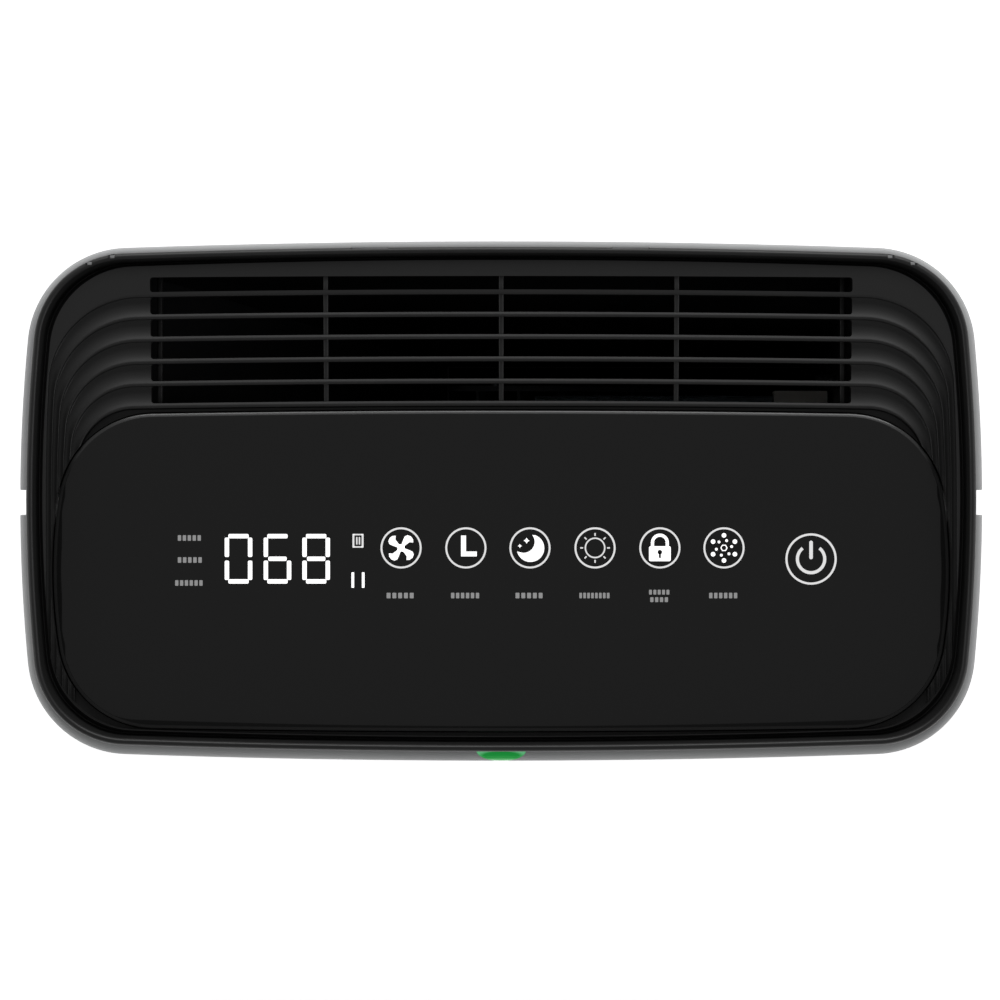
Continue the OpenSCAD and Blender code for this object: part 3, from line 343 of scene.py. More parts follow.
# 110 mm drift in tone
cast = addNode(tree, "ShaderNodeTexNoise", {"Scale": 9.0, "Detail": 2.0}, {"Vector": here})
tone = addNode(tree, "ShaderNodeValToRGB", None, {"Fac": cast.outputs["Fac"]})
tone.color_ramp.elements[0].position, tone.color_ramp.elements[1].position = 0.3, 0.7
tone.color_ramp.elements[0].color, tone.color_ramp.elements[1].color = linear("#bbbcbd"), linear("#c3c4c4")
bump = addNode(tree, "ShaderNodeBump", {"Strength": 0.12, "Distance": 0.0001},
               {"Height": spark.outputs["Fac"]})
gloss = addNode(tree, "ShaderNodeMapRange", {"To Min": 0.54, "To Max": 0.66}, {"Value": spark.outputs["Fac"]})
tree.links.new(tone.outputs["Color"], shader.inputs["Base Color"])
tree.links.new(gloss.outputs["Result"], shader.inputs["Roughness"])
tree.links.new(bump.outputs["Normal"], shader.inputs["Normal"])

# Moulded ABS, black: satin, its grit breaks the highlights on each lip into a soft grey
deckAbs, tree, shader = newMaterial("deckAbsMoulded", "#242424", 0.42, IOR=1.53)
here = addNode(tree, "ShaderNodeTexCoord").outputs["Object"]
# 0.55 mm grit
spark = addNode(tree, "ShaderNodeTexNoise", {"Scale": 1800.0, "Detail": 3.0, "Roughness": 0.6},
                {"Vector": here})
bump = addNode(tree, "ShaderNodeBump", {"Strength": 0.1, "Distance": 0.0001},
               {"Height": spark.outputs["Fac"]})
gloss = addNode(tree, "ShaderNodeMapRange", {"To Min": 0.36, "To Max": 0.48}, {"Value": spark.outputs["Fac"]})
tree.links.new(gloss.outputs["Result"], shader.inputs["Roughness"])
tree.links.new(bump.outputs["Normal"], shader.inputs["Normal"])

# Polished acrylic, black behind clear: deep and even, with a faint ripple from casting and a painted
# highlight on the chamfer
panelAcrylic, tree, shader = newMaterial("panelAcrylicPolished", "#151515", 0.07, IOR=1.49, Coat_Weight=0.5,
                                         Coat_Roughness=0.03)
here = addNode(tree, "ShaderNodeTexCoord").outputs["Object"]
ripple = addNode(tree, "ShaderNodeTexNoise", {"Scale": 22.0, "Detail": 1.0}, {"Vector": here})  # 45 mm swell
bump = addNode(tree, "ShaderNodeBump", {"Strength": 0.02, "Distance": 0.0003},
               {"Height": ripple.outputs["Fac"]})
# 7 mm wipe marks
wipe = addNode(tree, "ShaderNodeTexNoise", {"Scale": 140.0, "Detail": 4.0}, {"Vector": here})
gloss = addNode(tree, "ShaderNodeMapRange", {"To Min": 0.05, "To Max": 0.11}, {"Value": wipe.outputs["Fac"]})
split = addNode(tree, "ShaderNodeSeparateXYZ", None, {"Vector": here})
# painted highlight: the chamfer and sides, below the top face, are painted paler and made a little rougher
paintedBevelHighlight = addNode(tree, "ShaderNodeMapRange", {"From Min": 0.59498, "From Max": 0.59488},
                 {"Value": split.outputs["Z"]})
# painted highlight: the panel's black mixed towards a paler grey on the chamfer
paintedHighlightMix = addNode(tree, "ShaderNodeMix", {"data_type": "RGBA"}, {"Factor": paintedBevelHighlight.outputs["Result"]})
paintedHighlightMix.inputs[6].default_value, paintedHighlightMix.inputs[7].default_value = linear("#151515"), linear("#303030")
satin = addNode(tree, "ShaderNodeMath", {"operation": "MULTIPLY_ADD", 1: 0.25},
                {0: paintedBevelHighlight.outputs["Result"], 2: gloss.outputs["Result"]})
tree.links.new(paintedHighlightMix.outputs[2], shader.inputs["Base Color"])
tree.links.new(satin.outputs["Value"], shader.inputs["Roughness"])
tree.links.new(bump.outputs["Normal"], shader.inputs["Normal"])

# Tinted polycarbonate lens with a lamp behind it: green, with a painted mint highlight along the edge next to
# the rim
lensPolycarbonate, tree, shader = newMaterial("lensPolycarbonateGreen", "#12a845", 0.18, IOR=1.58)
here = addNode(tree, "ShaderNodeTexCoord").outputs["Object"]
flat = addNode(tree, "ShaderNodeMapping", {"vector_type": "TEXTURE", "Location": (0, -0.1058, 0),
                                           "Scale": (0.0102, 0.0024, 1000)}, {"Vector": here})
out = addNode(tree, "ShaderNodeVectorMath", {"operation": "LENGTH"}, {0: flat.outputs["Vector"]})
# painted mint highlight along the lens's outline
edge = addNode(tree, "ShaderNodeMapRange", {"From Min": 0.72, "From Max": 0.98},
               {"Value": out.outputs["Value"]})
grain = addNode(tree, "ShaderNodeTexNoise", {"Scale": 1200.0}, {"Vector": here})  # 0.8 mm diffuser grain
# painted highlight: the lamp's green mixed towards pale mint near the outline
paintedHighlightMix = addNode(tree, "ShaderNodeMix", {"data_type": "RGBA"}, {"Factor": edge.outputs["Result"]})
paintedHighlightMix.inputs[6].default_value, paintedHighlightMix.inputs[7].default_value = linear("#0a9a38"), linear("#86e2a6")
bump = addNode(tree, "ShaderNodeBump", {"Strength": 0.05, "Distance": 0.0001},
               {"Height": grain.outputs["Fac"]})
tree.links.new(paintedHighlightMix.outputs[2], shader.inputs["Emission Color"])
tree.links.new(bump.outputs["Normal"], shader.inputs["Normal"])
shader.inputs["Emission Strength"].default_value = 0.42


# Screen printed ink, lit from behind: flat white with the slight mottle of a printed diffuser
def printedInk(name, colour, glow):
    material, tree, shader = newMaterial(name, colour, 0.5)
    here = addNode(tree, "ShaderNodeTexCoord").outputs["Object"]
    # 1.4 mm mottle
    mottle = addNode(tree, "ShaderNodeTexNoise", {"Scale": 700.0, "Detail": 2.0}, {"Vector": here})
    mix = addNode(tree, "ShaderNodeMapRange", {"To Min": 0.94, "To Max": 1.0},
                  {"Value": mottle.outputs["Fac"]})
    shade = addNode(tree, "ShaderNodeHueSaturation", {"Color": linear(colour)},
                    {"Value": mix.outputs["Result"]})
    tree.links.new(shade.outputs["Color"], shader.inputs["Base Color"])
    tree.links.new(shade.outputs["Color"], shader.inputs["Emission Color"])
    shader.inputs["Emission Strength"].default_value = glow
    return material


inkBright = printedInk("inkWhiteLit", "#ffffff", 0.95)
inkRing = printedInk("inkWhiteRing", "#e2e2e2", 0.55)
inkDim = printedInk("inkGreyLabel", "#a8a8a8", 0.22)


# Plain moulded plastics of the inner pieces: matt, with tool grit and a slow drift in tone
def mouldedPlastic(name, colour, darker, roughness, grit=1400.0, bumpStrength=0.15):
    material, tree, shader = newMaterial(name, colour, roughness, IOR=1.5)
    here = addNode(tree, "ShaderNodeTexCoord").outputs["Object"]
    fine = addNode(tree, "ShaderNodeTexNoise", {"Scale": grit, "Detail": 3.0}, {"Vector": here})
    slow = addNode(tree, "ShaderNodeTexNoise", {"Scale": 14.0, "Detail": 2.0}, {"Vector": here})
    tone = addNode(tree, "ShaderNodeMix", {"data_type": "RGBA"}, {"Factor": slow.outputs["Fac"]})
    tone.inputs[6].default_value, tone.inputs[7].default_value = linear(darker), linear(colour)
    bump = addNode(tree, "ShaderNodeBump", {"Strength": bumpStrength, "Distance": 0.00015},
                   {"Height": fine.outputs["Fac"]})
    tree.links.new(tone.outputs[2], shader.inputs["Base Color"])
    tree.links.new(bump.outputs["Normal"], shader.inputs["Normal"])
    return material


# Metals: fine scratches along one way of the object, over a plated or pressed surface
def platedMetal(name, colour, roughness, stretch=(1, 1, 1), scale=600.0):
    material, tree, shader = newMaterial(name, colour, roughness, Metallic=1.0)
    here = addNode(tree, "ShaderNodeTexCoord").outputs["Object"]
    turn = addNode(tree, "ShaderNodeMapping", {"Scale": stretch}, {"Vector": here})
    fine = addNode(tree, "ShaderNodeTexNoise", {"Scale": scale, "Detail": 4.0},
                   {"Vector": turn.outputs["Vector"]})
    gloss = addNode(tree, "ShaderNodeMapRange", {"To Min": roughness - 0.08, "To Max": roughness + 0.12},
                    {"Value": fine.outputs["Fac"]})
    bump = addNode(tree, "ShaderNodeBump", {"Strength": 0.08, "Distance": 0.0001},
                   {"Height": fine.outputs["Fac"]})
    tree.links.new(gloss.outputs["Result"], shader.inputs["Roughness"])
    tree.links.new(bump.outputs["Normal"], shader.inputs["Normal"])
    return material


footRubber = mouldedPlastic("footRubberMoulded", "#2b2b2c", "#232324", 0.75, 900.0, 0.3)
basePlastic = mouldedPlastic("basePolypropyleneMoulded", "#3b3c3e", "#353638", 0.6)
framePlastic = mouldedPlastic("framePolypropyleneMoulded", "#2d2e30", "#27282a", 0.6)
fanPlastic = mouldedPlastic("scrollAbsMoulded", "#1f2022", "#191a1c", 0.5)
impellerPlastic = mouldedPlastic("impellerNylonMoulded", "#3f4348", "#363a3f", 0.45)
filterPlastic = mouldedPlastic("prefilterPolypropyleneMoulded", "#5b5f63", "#53575b", 0.55)
modulePlastic = mouldedPlastic("ioniserAbsMoulded", "#26272a", "#1f2022", 0.5)
componentPlastic = mouldedPlastic("componentNylonMoulded", "#26282b", "#1e2022", 0.45)
plungerPlastic = mouldedPlastic("plungerAcetalMoulded", "#c23b2e", "#b23428", 0.35)
clearPlastic = newMaterial("guidePolycarbonateClear", "#e6f2ea", 0.12, IOR=1.58, Transmission_Weight=0.6)[0]
sealFoam = mouldedPlastic("sealFoamOpenCell", "#4a4c50", "#3c3e42", 0.95, 700.0, 0.8)     # 1.4 mm cells
zincSteel = platedMetal("steelZincPlated", "#b9bcbf", 0.32)
motorSteel = platedMetal("motorSteelPressed", "#9a9da0", 0.4, (1, 6, 1))
magnetNickel = platedMetal("magnetNickelPlated", "#8f9296", 0.28)
windingCopper = platedMetal("windingCopperEnamelled", "#b06a35", 0.4, (1, 1, 12), 900.0)
pinBrass = platedMetal("pinBrassNickelled", "#c9b88a", 0.25, (1, 4, 1))
lampGlass = newMaterial("lampQuartzClear", "#dcecf7", 0.05, IOR=1.46, Transmission_Weight=0.8)[0]
lampCeramic = mouldedPlastic("lampBaseSteatiteFired", "#e2e0da", "#d6d3cc", 0.5, 1100.0, 0.2)
leadWhite = mouldedPlastic("leadPvcWhite", "#dcdcd8", "#d2d2ce", 0.45, 500.0, 0.1)
leadRed = mouldedPlastic("leadPvcRed", "#b5342b", "#a62e26", 0.45, 500.0, 0.1)

# Coated card of the filter's frame: off white, with short fibres in it
filterCard, tree, shader = newMaterial("filterCardCoated", "#e7e6e0", 0.7)
here = addNode(tree, "ShaderNodeTexCoord").outputs["Object"]
# 4 mm fibres
fibre = addNode(tree, "ShaderNodeTexNoise", {"Scale": 260.0, "Detail": 5.0, "Distortion": 1.5},
                {"Vector": here})
tone = addNode(tree, "ShaderNodeValToRGB", None, {"Fac": fibre.outputs["Fac"]})
tone.color_ramp.elements[0].position, tone.color_ramp.elements[1].position = 0.35, 0.6
tone.color_ramp.elements[0].color, tone.color_ramp.elements[1].color = linear("#dbd9d1"), linear("#eae9e4")
bump = addNode(tree, "ShaderNodeBump", {"Strength": 0.15, "Distance": 0.0002},
               {"Height": fibre.outputs["Fac"]})
tree.links.new(tone.outputs["Color"], shader.inputs["Base Color"])
tree.links.new(bump.outputs["Normal"], shader.inputs["Normal"])

# Glass fibre paper, folded: soft white, slightly felted
pleatPaper, tree, shader = newMaterial("pleatGlassFibrePaper", "#f2f0ea", 0.9)
here = addNode(tree, "ShaderNodeTexCoord").outputs["Object"]
felt = addNode(tree, "ShaderNodeTexNoise", {"Scale": 1000.0, "Detail": 5.0}, {"Vector": here})  # 1 mm felting
bump = addNode(tree, "ShaderNodeBump", {"Strength": 0.4, "Distance": 0.0002}, {"Height": felt.outputs["Fac"]})
tree.links.new(bump.outputs["Normal"], shader.inputs["Normal"])

# Activated carbon: matt black granules of about 3 mm, each with its own tilt, with painted shade in the gaps
# between them
carbonBed, tree, shader = newMaterial("carbonGranulesActivated", "#1b1c1e", 0.65)
here = addNode(tree, "ShaderNodeTexCoord").outputs["Object"]
grit = addNode(tree, "ShaderNodeTexVoronoi", {"Scale": 330.0}, {"Vector": here})  # 3 mm granules
# painted shade: each granule lighter in its middle and darker towards its edge
tone = addNode(tree, "ShaderNodeValToRGB", None, {"Fac": grit.outputs["Distance"]})
tone.color_ramp.elements[0].color, tone.color_ramp.elements[1].color = linear("#34363a"), linear("#0c0c0d")
bump = addNode(tree, "ShaderNodeBump", {"Strength": 0.9, "Distance": 0.001, "invert": True},
               {"Height": grit.outputs["Distance"]})
tree.links.new(tone.outputs["Color"], shader.inputs["Base Color"])
tree.links.new(bump.outputs["Normal"], shader.inputs["Normal"])

# Nylon monofilament: dark, with the sheen of drawn thread
meshNylon, tree, shader = newMaterial("netNylonWoven", "#30343a", 0.4, Sheen_Weight=0.2)
here = addNode(tree, "ShaderNodeTexCoord").outputs["Object"]
slub = addNode(tree, "ShaderNodeTexNoise", {"Scale": 500.0}, {"Vector": here})  # 2 mm change along a thread
tone = addNode(tree, "ShaderNodeValToRGB", None, {"Fac": slub.outputs["Fac"]})
tone.color_ramp.elements[0].color, tone.color_ramp.elements[1].color = linear("#262a2f"), linear("#3c4148")
tree.links.new(tone.outputs["Color"], shader.inputs["Base Color"])

# Woven tape: ribs of thread about 1 mm apart
tabTape, tree, shader = newMaterial("tabTapeWoven", "#2e6fb0", 0.8, Sheen_Weight=0.3)
here = addNode(tree, "ShaderNodeTexCoord").outputs["Object"]
rib = addNode(tree, "ShaderNodeTexWave", {"Scale": 320.0, "bands_direction": "Z", "Distortion": 0.4},
              {"Vector": here})
tone = addNode(tree, "ShaderNodeValToRGB", None, {"Fac": rib.outputs["Fac"]})
tone.color_ramp.elements[0].color, tone.color_ramp.elements[1].color = linear("#24598f"), linear("#3a7fc4")
bump = addNode(tree, "ShaderNodeBump", {"Strength": 0.6, "Distance": 0.0003}, {"Height": rib.outputs["Fac"]})
tree.links.new(tone.outputs["Color"], shader.inputs["Base Color"])
tree.links.new(bump.outputs["Normal"], shader.inputs["Normal"])


# Printed circuit laminate: solder mask over tracks, so darker and lighter blocks show through
def circuitBoard(name, mask, track):
    material, tree, shader = newMaterial(name, mask, 0.3, IOR=1.5)
    here = addNode(tree, "ShaderNodeTexCoord").outputs["Object"]
    tracks = addNode(tree, "ShaderNodeTexBrick", {"Scale": 160.0, "Mortar Size": 0.06, "Color1": linear(mask),
                                                  "Color2": linear(mask),
                                                  "Mortar": linear(track)}, {"Vector": here})  # 3 mm tracks
    bump = addNode(tree, "ShaderNodeBump", {"Strength": 0.3, "Distance": 0.0001},
                   {"Height": tracks.outputs["Fac"]})
    tree.links.new(tracks.outputs["Color"], shader.inputs["Base Color"])
    tree.links.new(bump.outputs["Normal"], shader.inputs["Normal"])
    return material


boardGreen = circuitBoard("boardLaminateGreen", "#1d5a38", "#2f7a4e")
boardBrown = circuitBoard("boardLaminateBrown", "#b08a3c", "#8f6c28")

finishOf = dict(
    foot_rubber=footRubber, base_plastic=basePlastic, frame_plastic=framePlastic, shell_white=shellAbs,
    deck_black=deckAbs, panel_gloss=panelAcrylic, lens_green=lensPolycarbonate, clear_plastic=clearPlastic,
    magnet=magnetNickel, steel=zincSteel, filter_plastic=filterPlastic, mesh_nylon=meshNylon,
    filter_card=filterCard, pleat_paper=pleatPaper, carbon=carbonBed, seal_foam=sealFoam,
    tab_fabric=tabTape, fan_plastic=fanPlastic,
    impeller_plastic=impellerPlastic, motor_zinc=motorSteel, winding=windingCopper, lamp_glass=lampGlass,
    lamp_ceramic=lampCeramic, module_plastic=modulePlastic, board_green=boardGreen, board_brown=boardBrown,
    component_black=componentPlastic, plunger_red=plungerPlastic, pin_brass=pinBrass, lead_white=leadWhite,
    lead_red=leadRed)
for part in frame["record"]["subparts"]:
    mesh = nodes[part["node"]].data
    mesh.materials.clear()
    mesh.materials.append(finishOf[part["material_slot"]])


print("front cover and rear shell")
lens = dict(w=20.7, h=4.8, y=-103.3, low=5.2, gap=0.1)
cover = dict(edge=0.5, magnetX=150, magnetZ=(425, 560), magnetR=7, magnetY=(-104.9, -93.1),
             switchZ=425, switchR=5, switchY=(-106, -94.0), pinX=120, pinZ=24, pinR=(3, 2.4), pinY=(-105.6,
                                                                                                    -91.4),
             ribX=138, ribY=(-106.2, -102.4), ribZ=(54, 164, 284, 449), ribT=1.8)


def shellSections():
    lip = rimLine(-0.3)
    sections = [(bodyLine(t), z) for t, z in ((2, 14), (1.2, 14.15), (0.5, 14.7), (0.12, 15.4), (0, 16.2))]
    sections += [(bodyLine(0), z) for z in (120, 240, 360, 480)]
    for step in range(11):
        a = step * pi / 20
        sections.append((between(bodyLine(0), lip, 1 - cos(a)),
                         body["top"] - body["shoulder"] * (1 - sin(a))))
    sections += [(between(bodyLine(body["wall"]), lip, 0.9), body["top"] - 1.8),
                 (bodyLine(body["wall"]), body["top"] - body["shoulder"] - 1), (bodyLine(body["wall"]), 14)]
    return sections


def halfShell(name, y, keepFront):
    bm = bmesh.new()
    sweepRings(bm, shellSections())
    cut = bmesh.ops.bisect_plane(bm, geom=bm.verts[:] + bm.edges[:] + bm.faces[:], dist=0.0001,
                                 plane_co=(0, y, 0),
                                 plane_no=(0, 1 if keepFront else -1, 0), clear_outer=True)["geom_cut"]
    bmesh.ops.holes_fill(bm, edges=[e for e in cut if isinstance(e, bmesh.types.BMEdge)], sides=0)
    return draw(name, bm)


def lensPrism(name, grow):
    # half an ellipse seen from above, so the lens narrows as it turns down over the shoulder
    a, b = lens["w"] / 2 + grow, lens["h"] + grow
    line = [(-a, lens["y"] + 6), (-a, lens["y"])]
    line += [(a * cos(radians(t)), lens["y"] + b * sin(radians(t))) for t in range(185, 356, 5)]
    line += [(a, lens["y"]), (a, lens["y"] + 6)]
    return prism(name, line, body["top"] - lens["low"] - grow, body["top"] + 5)


frontCover = halfShell("frontCover", airGap["front"], True)
indicatorLens = frontCover.copy()
indicatorLens.data = frontCover.data.copy()
indicatorLens.name = "indicatorLens"
bpy.context.scene.collection.objects.link(indicatorLens)
carve(indicatorLens, lensPrism("lensTool", 0), "INTERSECT")
carve(frontCover, lensPrism("lensHole", lens["gap"]))
soften(frontCover, cover["edge"], 60, 2, lambda e: all(abs(v.co.y - airGap["front"]) < 0.01 for v in e.verts))

# posts, pins and ribs inside the cover
bm = bmesh.new()
bm.from_mesh(frontCover.data)
for x in (-cover["magnetX"], cover["magnetX"]):
    for z in cover["magnetZ"]:
        rodY(bm, x, z, cover["magnetR"], *cover["magnetY"])
rodY(bm, 0, cover["switchZ"], cover["switchR"], *cover["switchY"])
for x in (-cover["pinX"], cover["pinX"]):
    rodY(bm, x, cover["pinZ"], cover["pinR"][0], *cover["pinY"], 24, cover["pinR"][1])
for z in cover["ribZ"]:
    block(bm, (-cover["ribX"], cover["ribY"][0], z), (cover["ribX"], cover["ribY"][1], z + cover["ribT"]),
          0.3)
frontCover.data.clear_geometry()
bm.to_mesh(frontCover.data)
bm.free()

rearShell = halfShell("rearShell", airGap["back"], False)
cup = dict(w=120, h=32, r=8, x=0, z=461)
rear = dict(socket=(-110, 64, 30, 22, 3), screwX=159, screwZ=(64, 314, 534), well=4.4,
            sensorY=45, sensorZ=472, edge=0.5)
bm = bmesh.new()
slabY(bm, roundedRect(cup["w"] + 0.3, cup["h"] + 0.3, cup["r"]), cup["x"], cup["z"], 80, 120)
socketX, socketZ, socketW, socketH, socketR = rear["socket"]
slabY(bm, roundedRect(socketW + 0.3, socketH + 0.3, socketR), socketX, socketZ, 80, 120)
for x in (-rear["screwX"], rear["screwX"]):
    for z in rear["screwZ"]:
        rodY(bm, x, z, rear["well"], 90, 120, 40)
for k in range(-3, 4):
    z = rear["sensorZ"] + 5 * k
    block(bm, (-210, rear["sensorY"] - 14, z - 1), (-188, rear["sensorY"] + 14, z + 1), 0.9, 3)
carve(rearShell, draw("rearHoles", bm))
soften(rearShell, rear["edge"], 60, 2, lambda e: all(abs(v.co.y - airGap["back"]) < 0.01 for v in e.verts))

# screw wells: tubes from the shell's wall in to the frame's bosses, with a floor for the screw's head
bm = bmesh.new()
for x in (-rear["screwX"], rear["screwX"]):
    for z in rear["screwZ"]:
        tube = [(6.0, 98.9), (6.0, 103.6), (rear["well"], 104.4), (rear["well"], 101.9), (2.2, 101.9),
                (2.2, 98.9)]
        spinProfile(bm, [(x + r, y, z) for r, y in tube], (x, 0, z), (0, 1, 0), 36, True)
wells = draw("screwWells", bm)

# case screws: pan heads with a cross recess
bm = bmesh.new()
screw = dict(arm=1.9, slot=0.4, recess=102.6, head=((0, 101.95), (3.4, 101.95), (3.75, 102.3), (3.7, 102.9),
                                                   (3.1, 103.6), (1.9, 104.0), (0, 104.1)))
for x in (-rear["screwX"], rear["screwX"]):
    for z in rear["screwZ"]:
        spinProfile(bm, [(x + r, y, z) for r, y in screw["head"]], (x, 0, z), (0, 1, 0), 32)
screwHeads = draw("screwHeads", bm)
bm = bmesh.new()
a, c = screw["arm"], screw["slot"]
cross = [(-a, -c), (-c, -c), (-c, -a), (c, -a), (c, -c), (a, -c), (a, c), (c, c), (c, a), (-c, a), (-c, c),
         (-a, c)]
for x in (-rear["screwX"], rear["screwX"]):
    for z in rear["screwZ"]:
        slabY(bm, cross, x, z, screw["recess"], 106)
carve(screwHeads, draw("crossTool", bm))

# snap tabs on the shell's lip that show through notches in the rim
snap = dict(x=((-62, -46.6), (46, 61.4)), deep=0.75,
            corner=((-170.7, 97.9), (-161.3, 100.7), (161.3, 100.7), (170.7, 97.9)))

finish(frontCover, "cover", shellAbs, ["front_cover"])
finish(rearShell, "housing", shellAbs, ["rear_shell"])
finish(wells, "housing", shellAbs, [])
finish(screwHeads, "housing", zincSteel, [])
finish(indicatorLens, "cover", lensPolycarbonate, ["indicator_lens"])


print("rim")
bm = bmesh.new()
sections = [(rimLine(t), z) for t, z in ((0, rim["low"]), (0, 596), (0, 608.2), (0.1, 608.8), (0.38, 609.35),
                                         (0.8, 609.75), (1.3, 609.95), (1.8, 610), (2.3, 609.85), (2.7,
                                                                                                   609.35),
                                         (2.95, 608.6))]
# a narrow V between the rim and the deck
sections += [(between(rimLine(3.0), bowlLine(-0.5), t), z) for t, z in ((0.48, 600.2), (0.56, 600.1))]
sections += [(bowlLine(t), z) for t, z in ((-0.62, 605.4), (-0.6, 589), (-1.6, 588.6), (-1.6, 593.5))]
sections += [(rimLine(rim["wall"]), 594.5), (rimLine(rim["wall"]), rim["low"])]
sweepRings(bm, sections)
topRim = draw("topRim", bm)
bm = bmesh.new()
for x0, x1 in snap["x"]:
    block(bm, (x0, 105.15 - snap["deep"], 598.5), (x1, 110, 615))
for x, y in snap["corner"]:
    block(bm, (x - 1.4, y - 0.3, 598.5), (x + 1.4, y + 6, 615))
carve(topRim, draw("notches", bm))
bm = bmesh.new()
for x0, x1 in snap["x"]:
    block(bm, (x0 + 0.2, 105.35 - snap["deep"], 594), (x1 - 0.2, 105.9, 599.9), 0.2)
for x, y in snap["corner"]:
    block(bm, (x - 1.2, y - 0.1, 594), (x + 1.2, y + 1.4, 599.8), 0.2)
finish(draw("snapTabs", bm), "housing", shellAbs, [])
finish(topRim, "housing", deckAbs, ["top_rim"], 40)


print("outlet grille")
# six terraces, with slots, bars and ribs across them
deck = dict(side=188.6, squeeze=2.24, back=85.6, pitch=9.2, corner=38, cornerStep=2.8, top=606, drop=2,
            scoop=1.0,
            steps=5, base=586, barW=2, slotX=145.5, slotBack=93.2, ribX=72.75, ribW=2, ribLow=1.2,
            lastFloor=591, cutLow=575, cutRise=50)


def lipLine(i, grow=0):
    a = deck["side"] - deck["squeeze"] * i + grow
    b = deck["back"] - deck["pitch"] * i + grow
    r = deck["corner"] - deck["cornerStep"] * i + grow
    sideRun = [-112 + 14 * k for k in range(8)]
    return [(a, y) for y in sideRun] + halfLine(a, b, r, 1, 1.2) + [(-a, y) for y in reversed(sideRun)]


def lipZ(i):
    return deck["top"] - deck["drop"] * i


def lipY(i, x):
    # where lip i runs at x, on the bowed stretch across the slots
    a = deck["side"] - deck["squeeze"] * i
    b = deck["back"] - deck["pitch"] * i
    r = deck["corner"] - deck["cornerStep"] * i
    ry = bowRadius(a - r - 1, 1.2, r)
    return b - ry + sqrt(ry * ry - x * x)


sections = [(lipLine(0, 16), lipZ(0)), (lipLine(0, 1.2), lipZ(0))]
for i in range(deck["steps"] + 1):
    z = lipZ(i)
    last = i == deck["steps"]
    outer, inner = lipLine(i), lipLine(i + 1)
    floorZ = deck["lastFloor"] if last else lipZ(i + 1) - deck["scoop"]
    sections += [(between(outer, inner, -0.09), z), (between(outer, inner, -0.04), z - 0.1),
                 (between(outer, inner, -0.01), z - 0.35), (outer, z - 0.8)]
    if last:
        far = [(x * 0.8, -40 + (y + 40) * 0.8) for x, y in outer]
        sections += [(between(outer, inner, 0.01), floorZ + 0.4), (between(outer, inner, 0.05), floorZ),
                     (far, floorZ)]
        break
    sections += [(between(outer, inner, 0.005), floorZ + 0.7), (between(outer, inner, 0.03), floorZ + 0.2),
                 (between(outer, inner, 0.08), floorZ)]
    for f in (0.3, 0.45, 0.56, 0.65, 0.73, 0.8, 0.86):
        sections.append((between(outer, inner, f), floorZ + deck["scoop"] * (max(f - 0.3, 0) / 0.6) ** 2))
bm = bmesh.new()
first = ring = layRing(bm, sections[0][0], sections[0][1], False)
for line, z in sections[1:]:
    ring = carryRing(bm, ring, line, z)
sheet = bm.faces[:]
down = bmesh.ops.extrude_face_region(bm, geom=sheet)["geom"]
for v in [v for v in down if isinstance(v, bmesh.types.BMVert)]:
    v.co.z = deck["base"]
outletGrille = draw("outletGrille", bm)
carve(outletGrille, prism("bowlTool", bowlLine(-0.6), 580, 620), "INTERSECT")
carve(outletGrille, prism("panelTool", panelLine(-0.5), 580, 620))

# slots between the bars, with round ends
bm = bmesh.new()
count = 24
for i in range(deck["steps"] + 1):
    xs = [-deck["slotX"] + 2 * deck["slotX"] * k / count for k in range(count + 1)]
    backEdge = [(x, lipY(i - 1, x) if i else deck["slotBack"] - 0.6 * (x / deck["slotX"]) ** 2) for x in xs]
    frontEdge = [(x, lipY(i, x) + deck["barW"]) for x in xs]
    carryFace(bm, [(x, y, deck["cutLow"]) for x, y in backEdge + frontEdge[::-1]], (0, 0, deck["cutRise"]))
corners = [e for e in bm.edges if abs(e.verts[0].co.z - e.verts[1].co.z) > 40
           and abs(abs(e.verts[0].co.x) - deck["slotX"]) < 0.01]
bmesh.ops.bevel(bm, geom=corners, offset=1.2, offset_type="OFFSET", segments=4, profile=0.5,
                affect="EDGES", material=-1)
carve(outletGrille, draw("slotTool", bm))

# the bars are shallow, so the space below them is cleared
bm = bmesh.new()
side = [(39.4, deck["cutLow"]), (94, deck["cutLow"]), (94, 597), (85, 597), (39.4, 587.4)]
reach = deck["slotX"] + 1.5
carryFace(bm, [(-reach, y, z) for y, z in side], (2 * reach, 0, 0))
carve(outletGrille, draw("mouthTool", bm))

# floor of the gap in front of the panel
gapFloor = carve(prism("gapFloor", bowlLine(-0.6), 586, 590.6), prism("panelTool", panelLine(-0.5), 580, 620))
bm = bmesh.new()
block(bm, (-220, -60, 580), (220, 130, 600))
carve(gapFloor, draw("rearTool", bm))
finish(gapFloor, "housing", deckAbs, [])
finish(outletGrille, "housing", deckAbs, ["outlet_grille"], 34)

# ribs across the slots, a little below the bars
bm = bmesh.new()
for x in (-deck["ribX"], 0, deck["ribX"]):
    lowest, highest = lipZ(deck["steps"]) - deck["ribLow"], lipZ(0) - deck["ribLow"]
    side = [(39.5, 587.9), (39.5, lowest), (85.6, highest), (94.2, highest), (94.2, 597.5)]
    carryFace(bm, [(x - deck["ribW"] / 2, y, z) for y, z in side], (deck["ribW"], 0, 0))
ribs = soften(draw("grilleRibs", bm), 0.45, 50, 3)
finish(ribs, "housing", deckAbs, [])

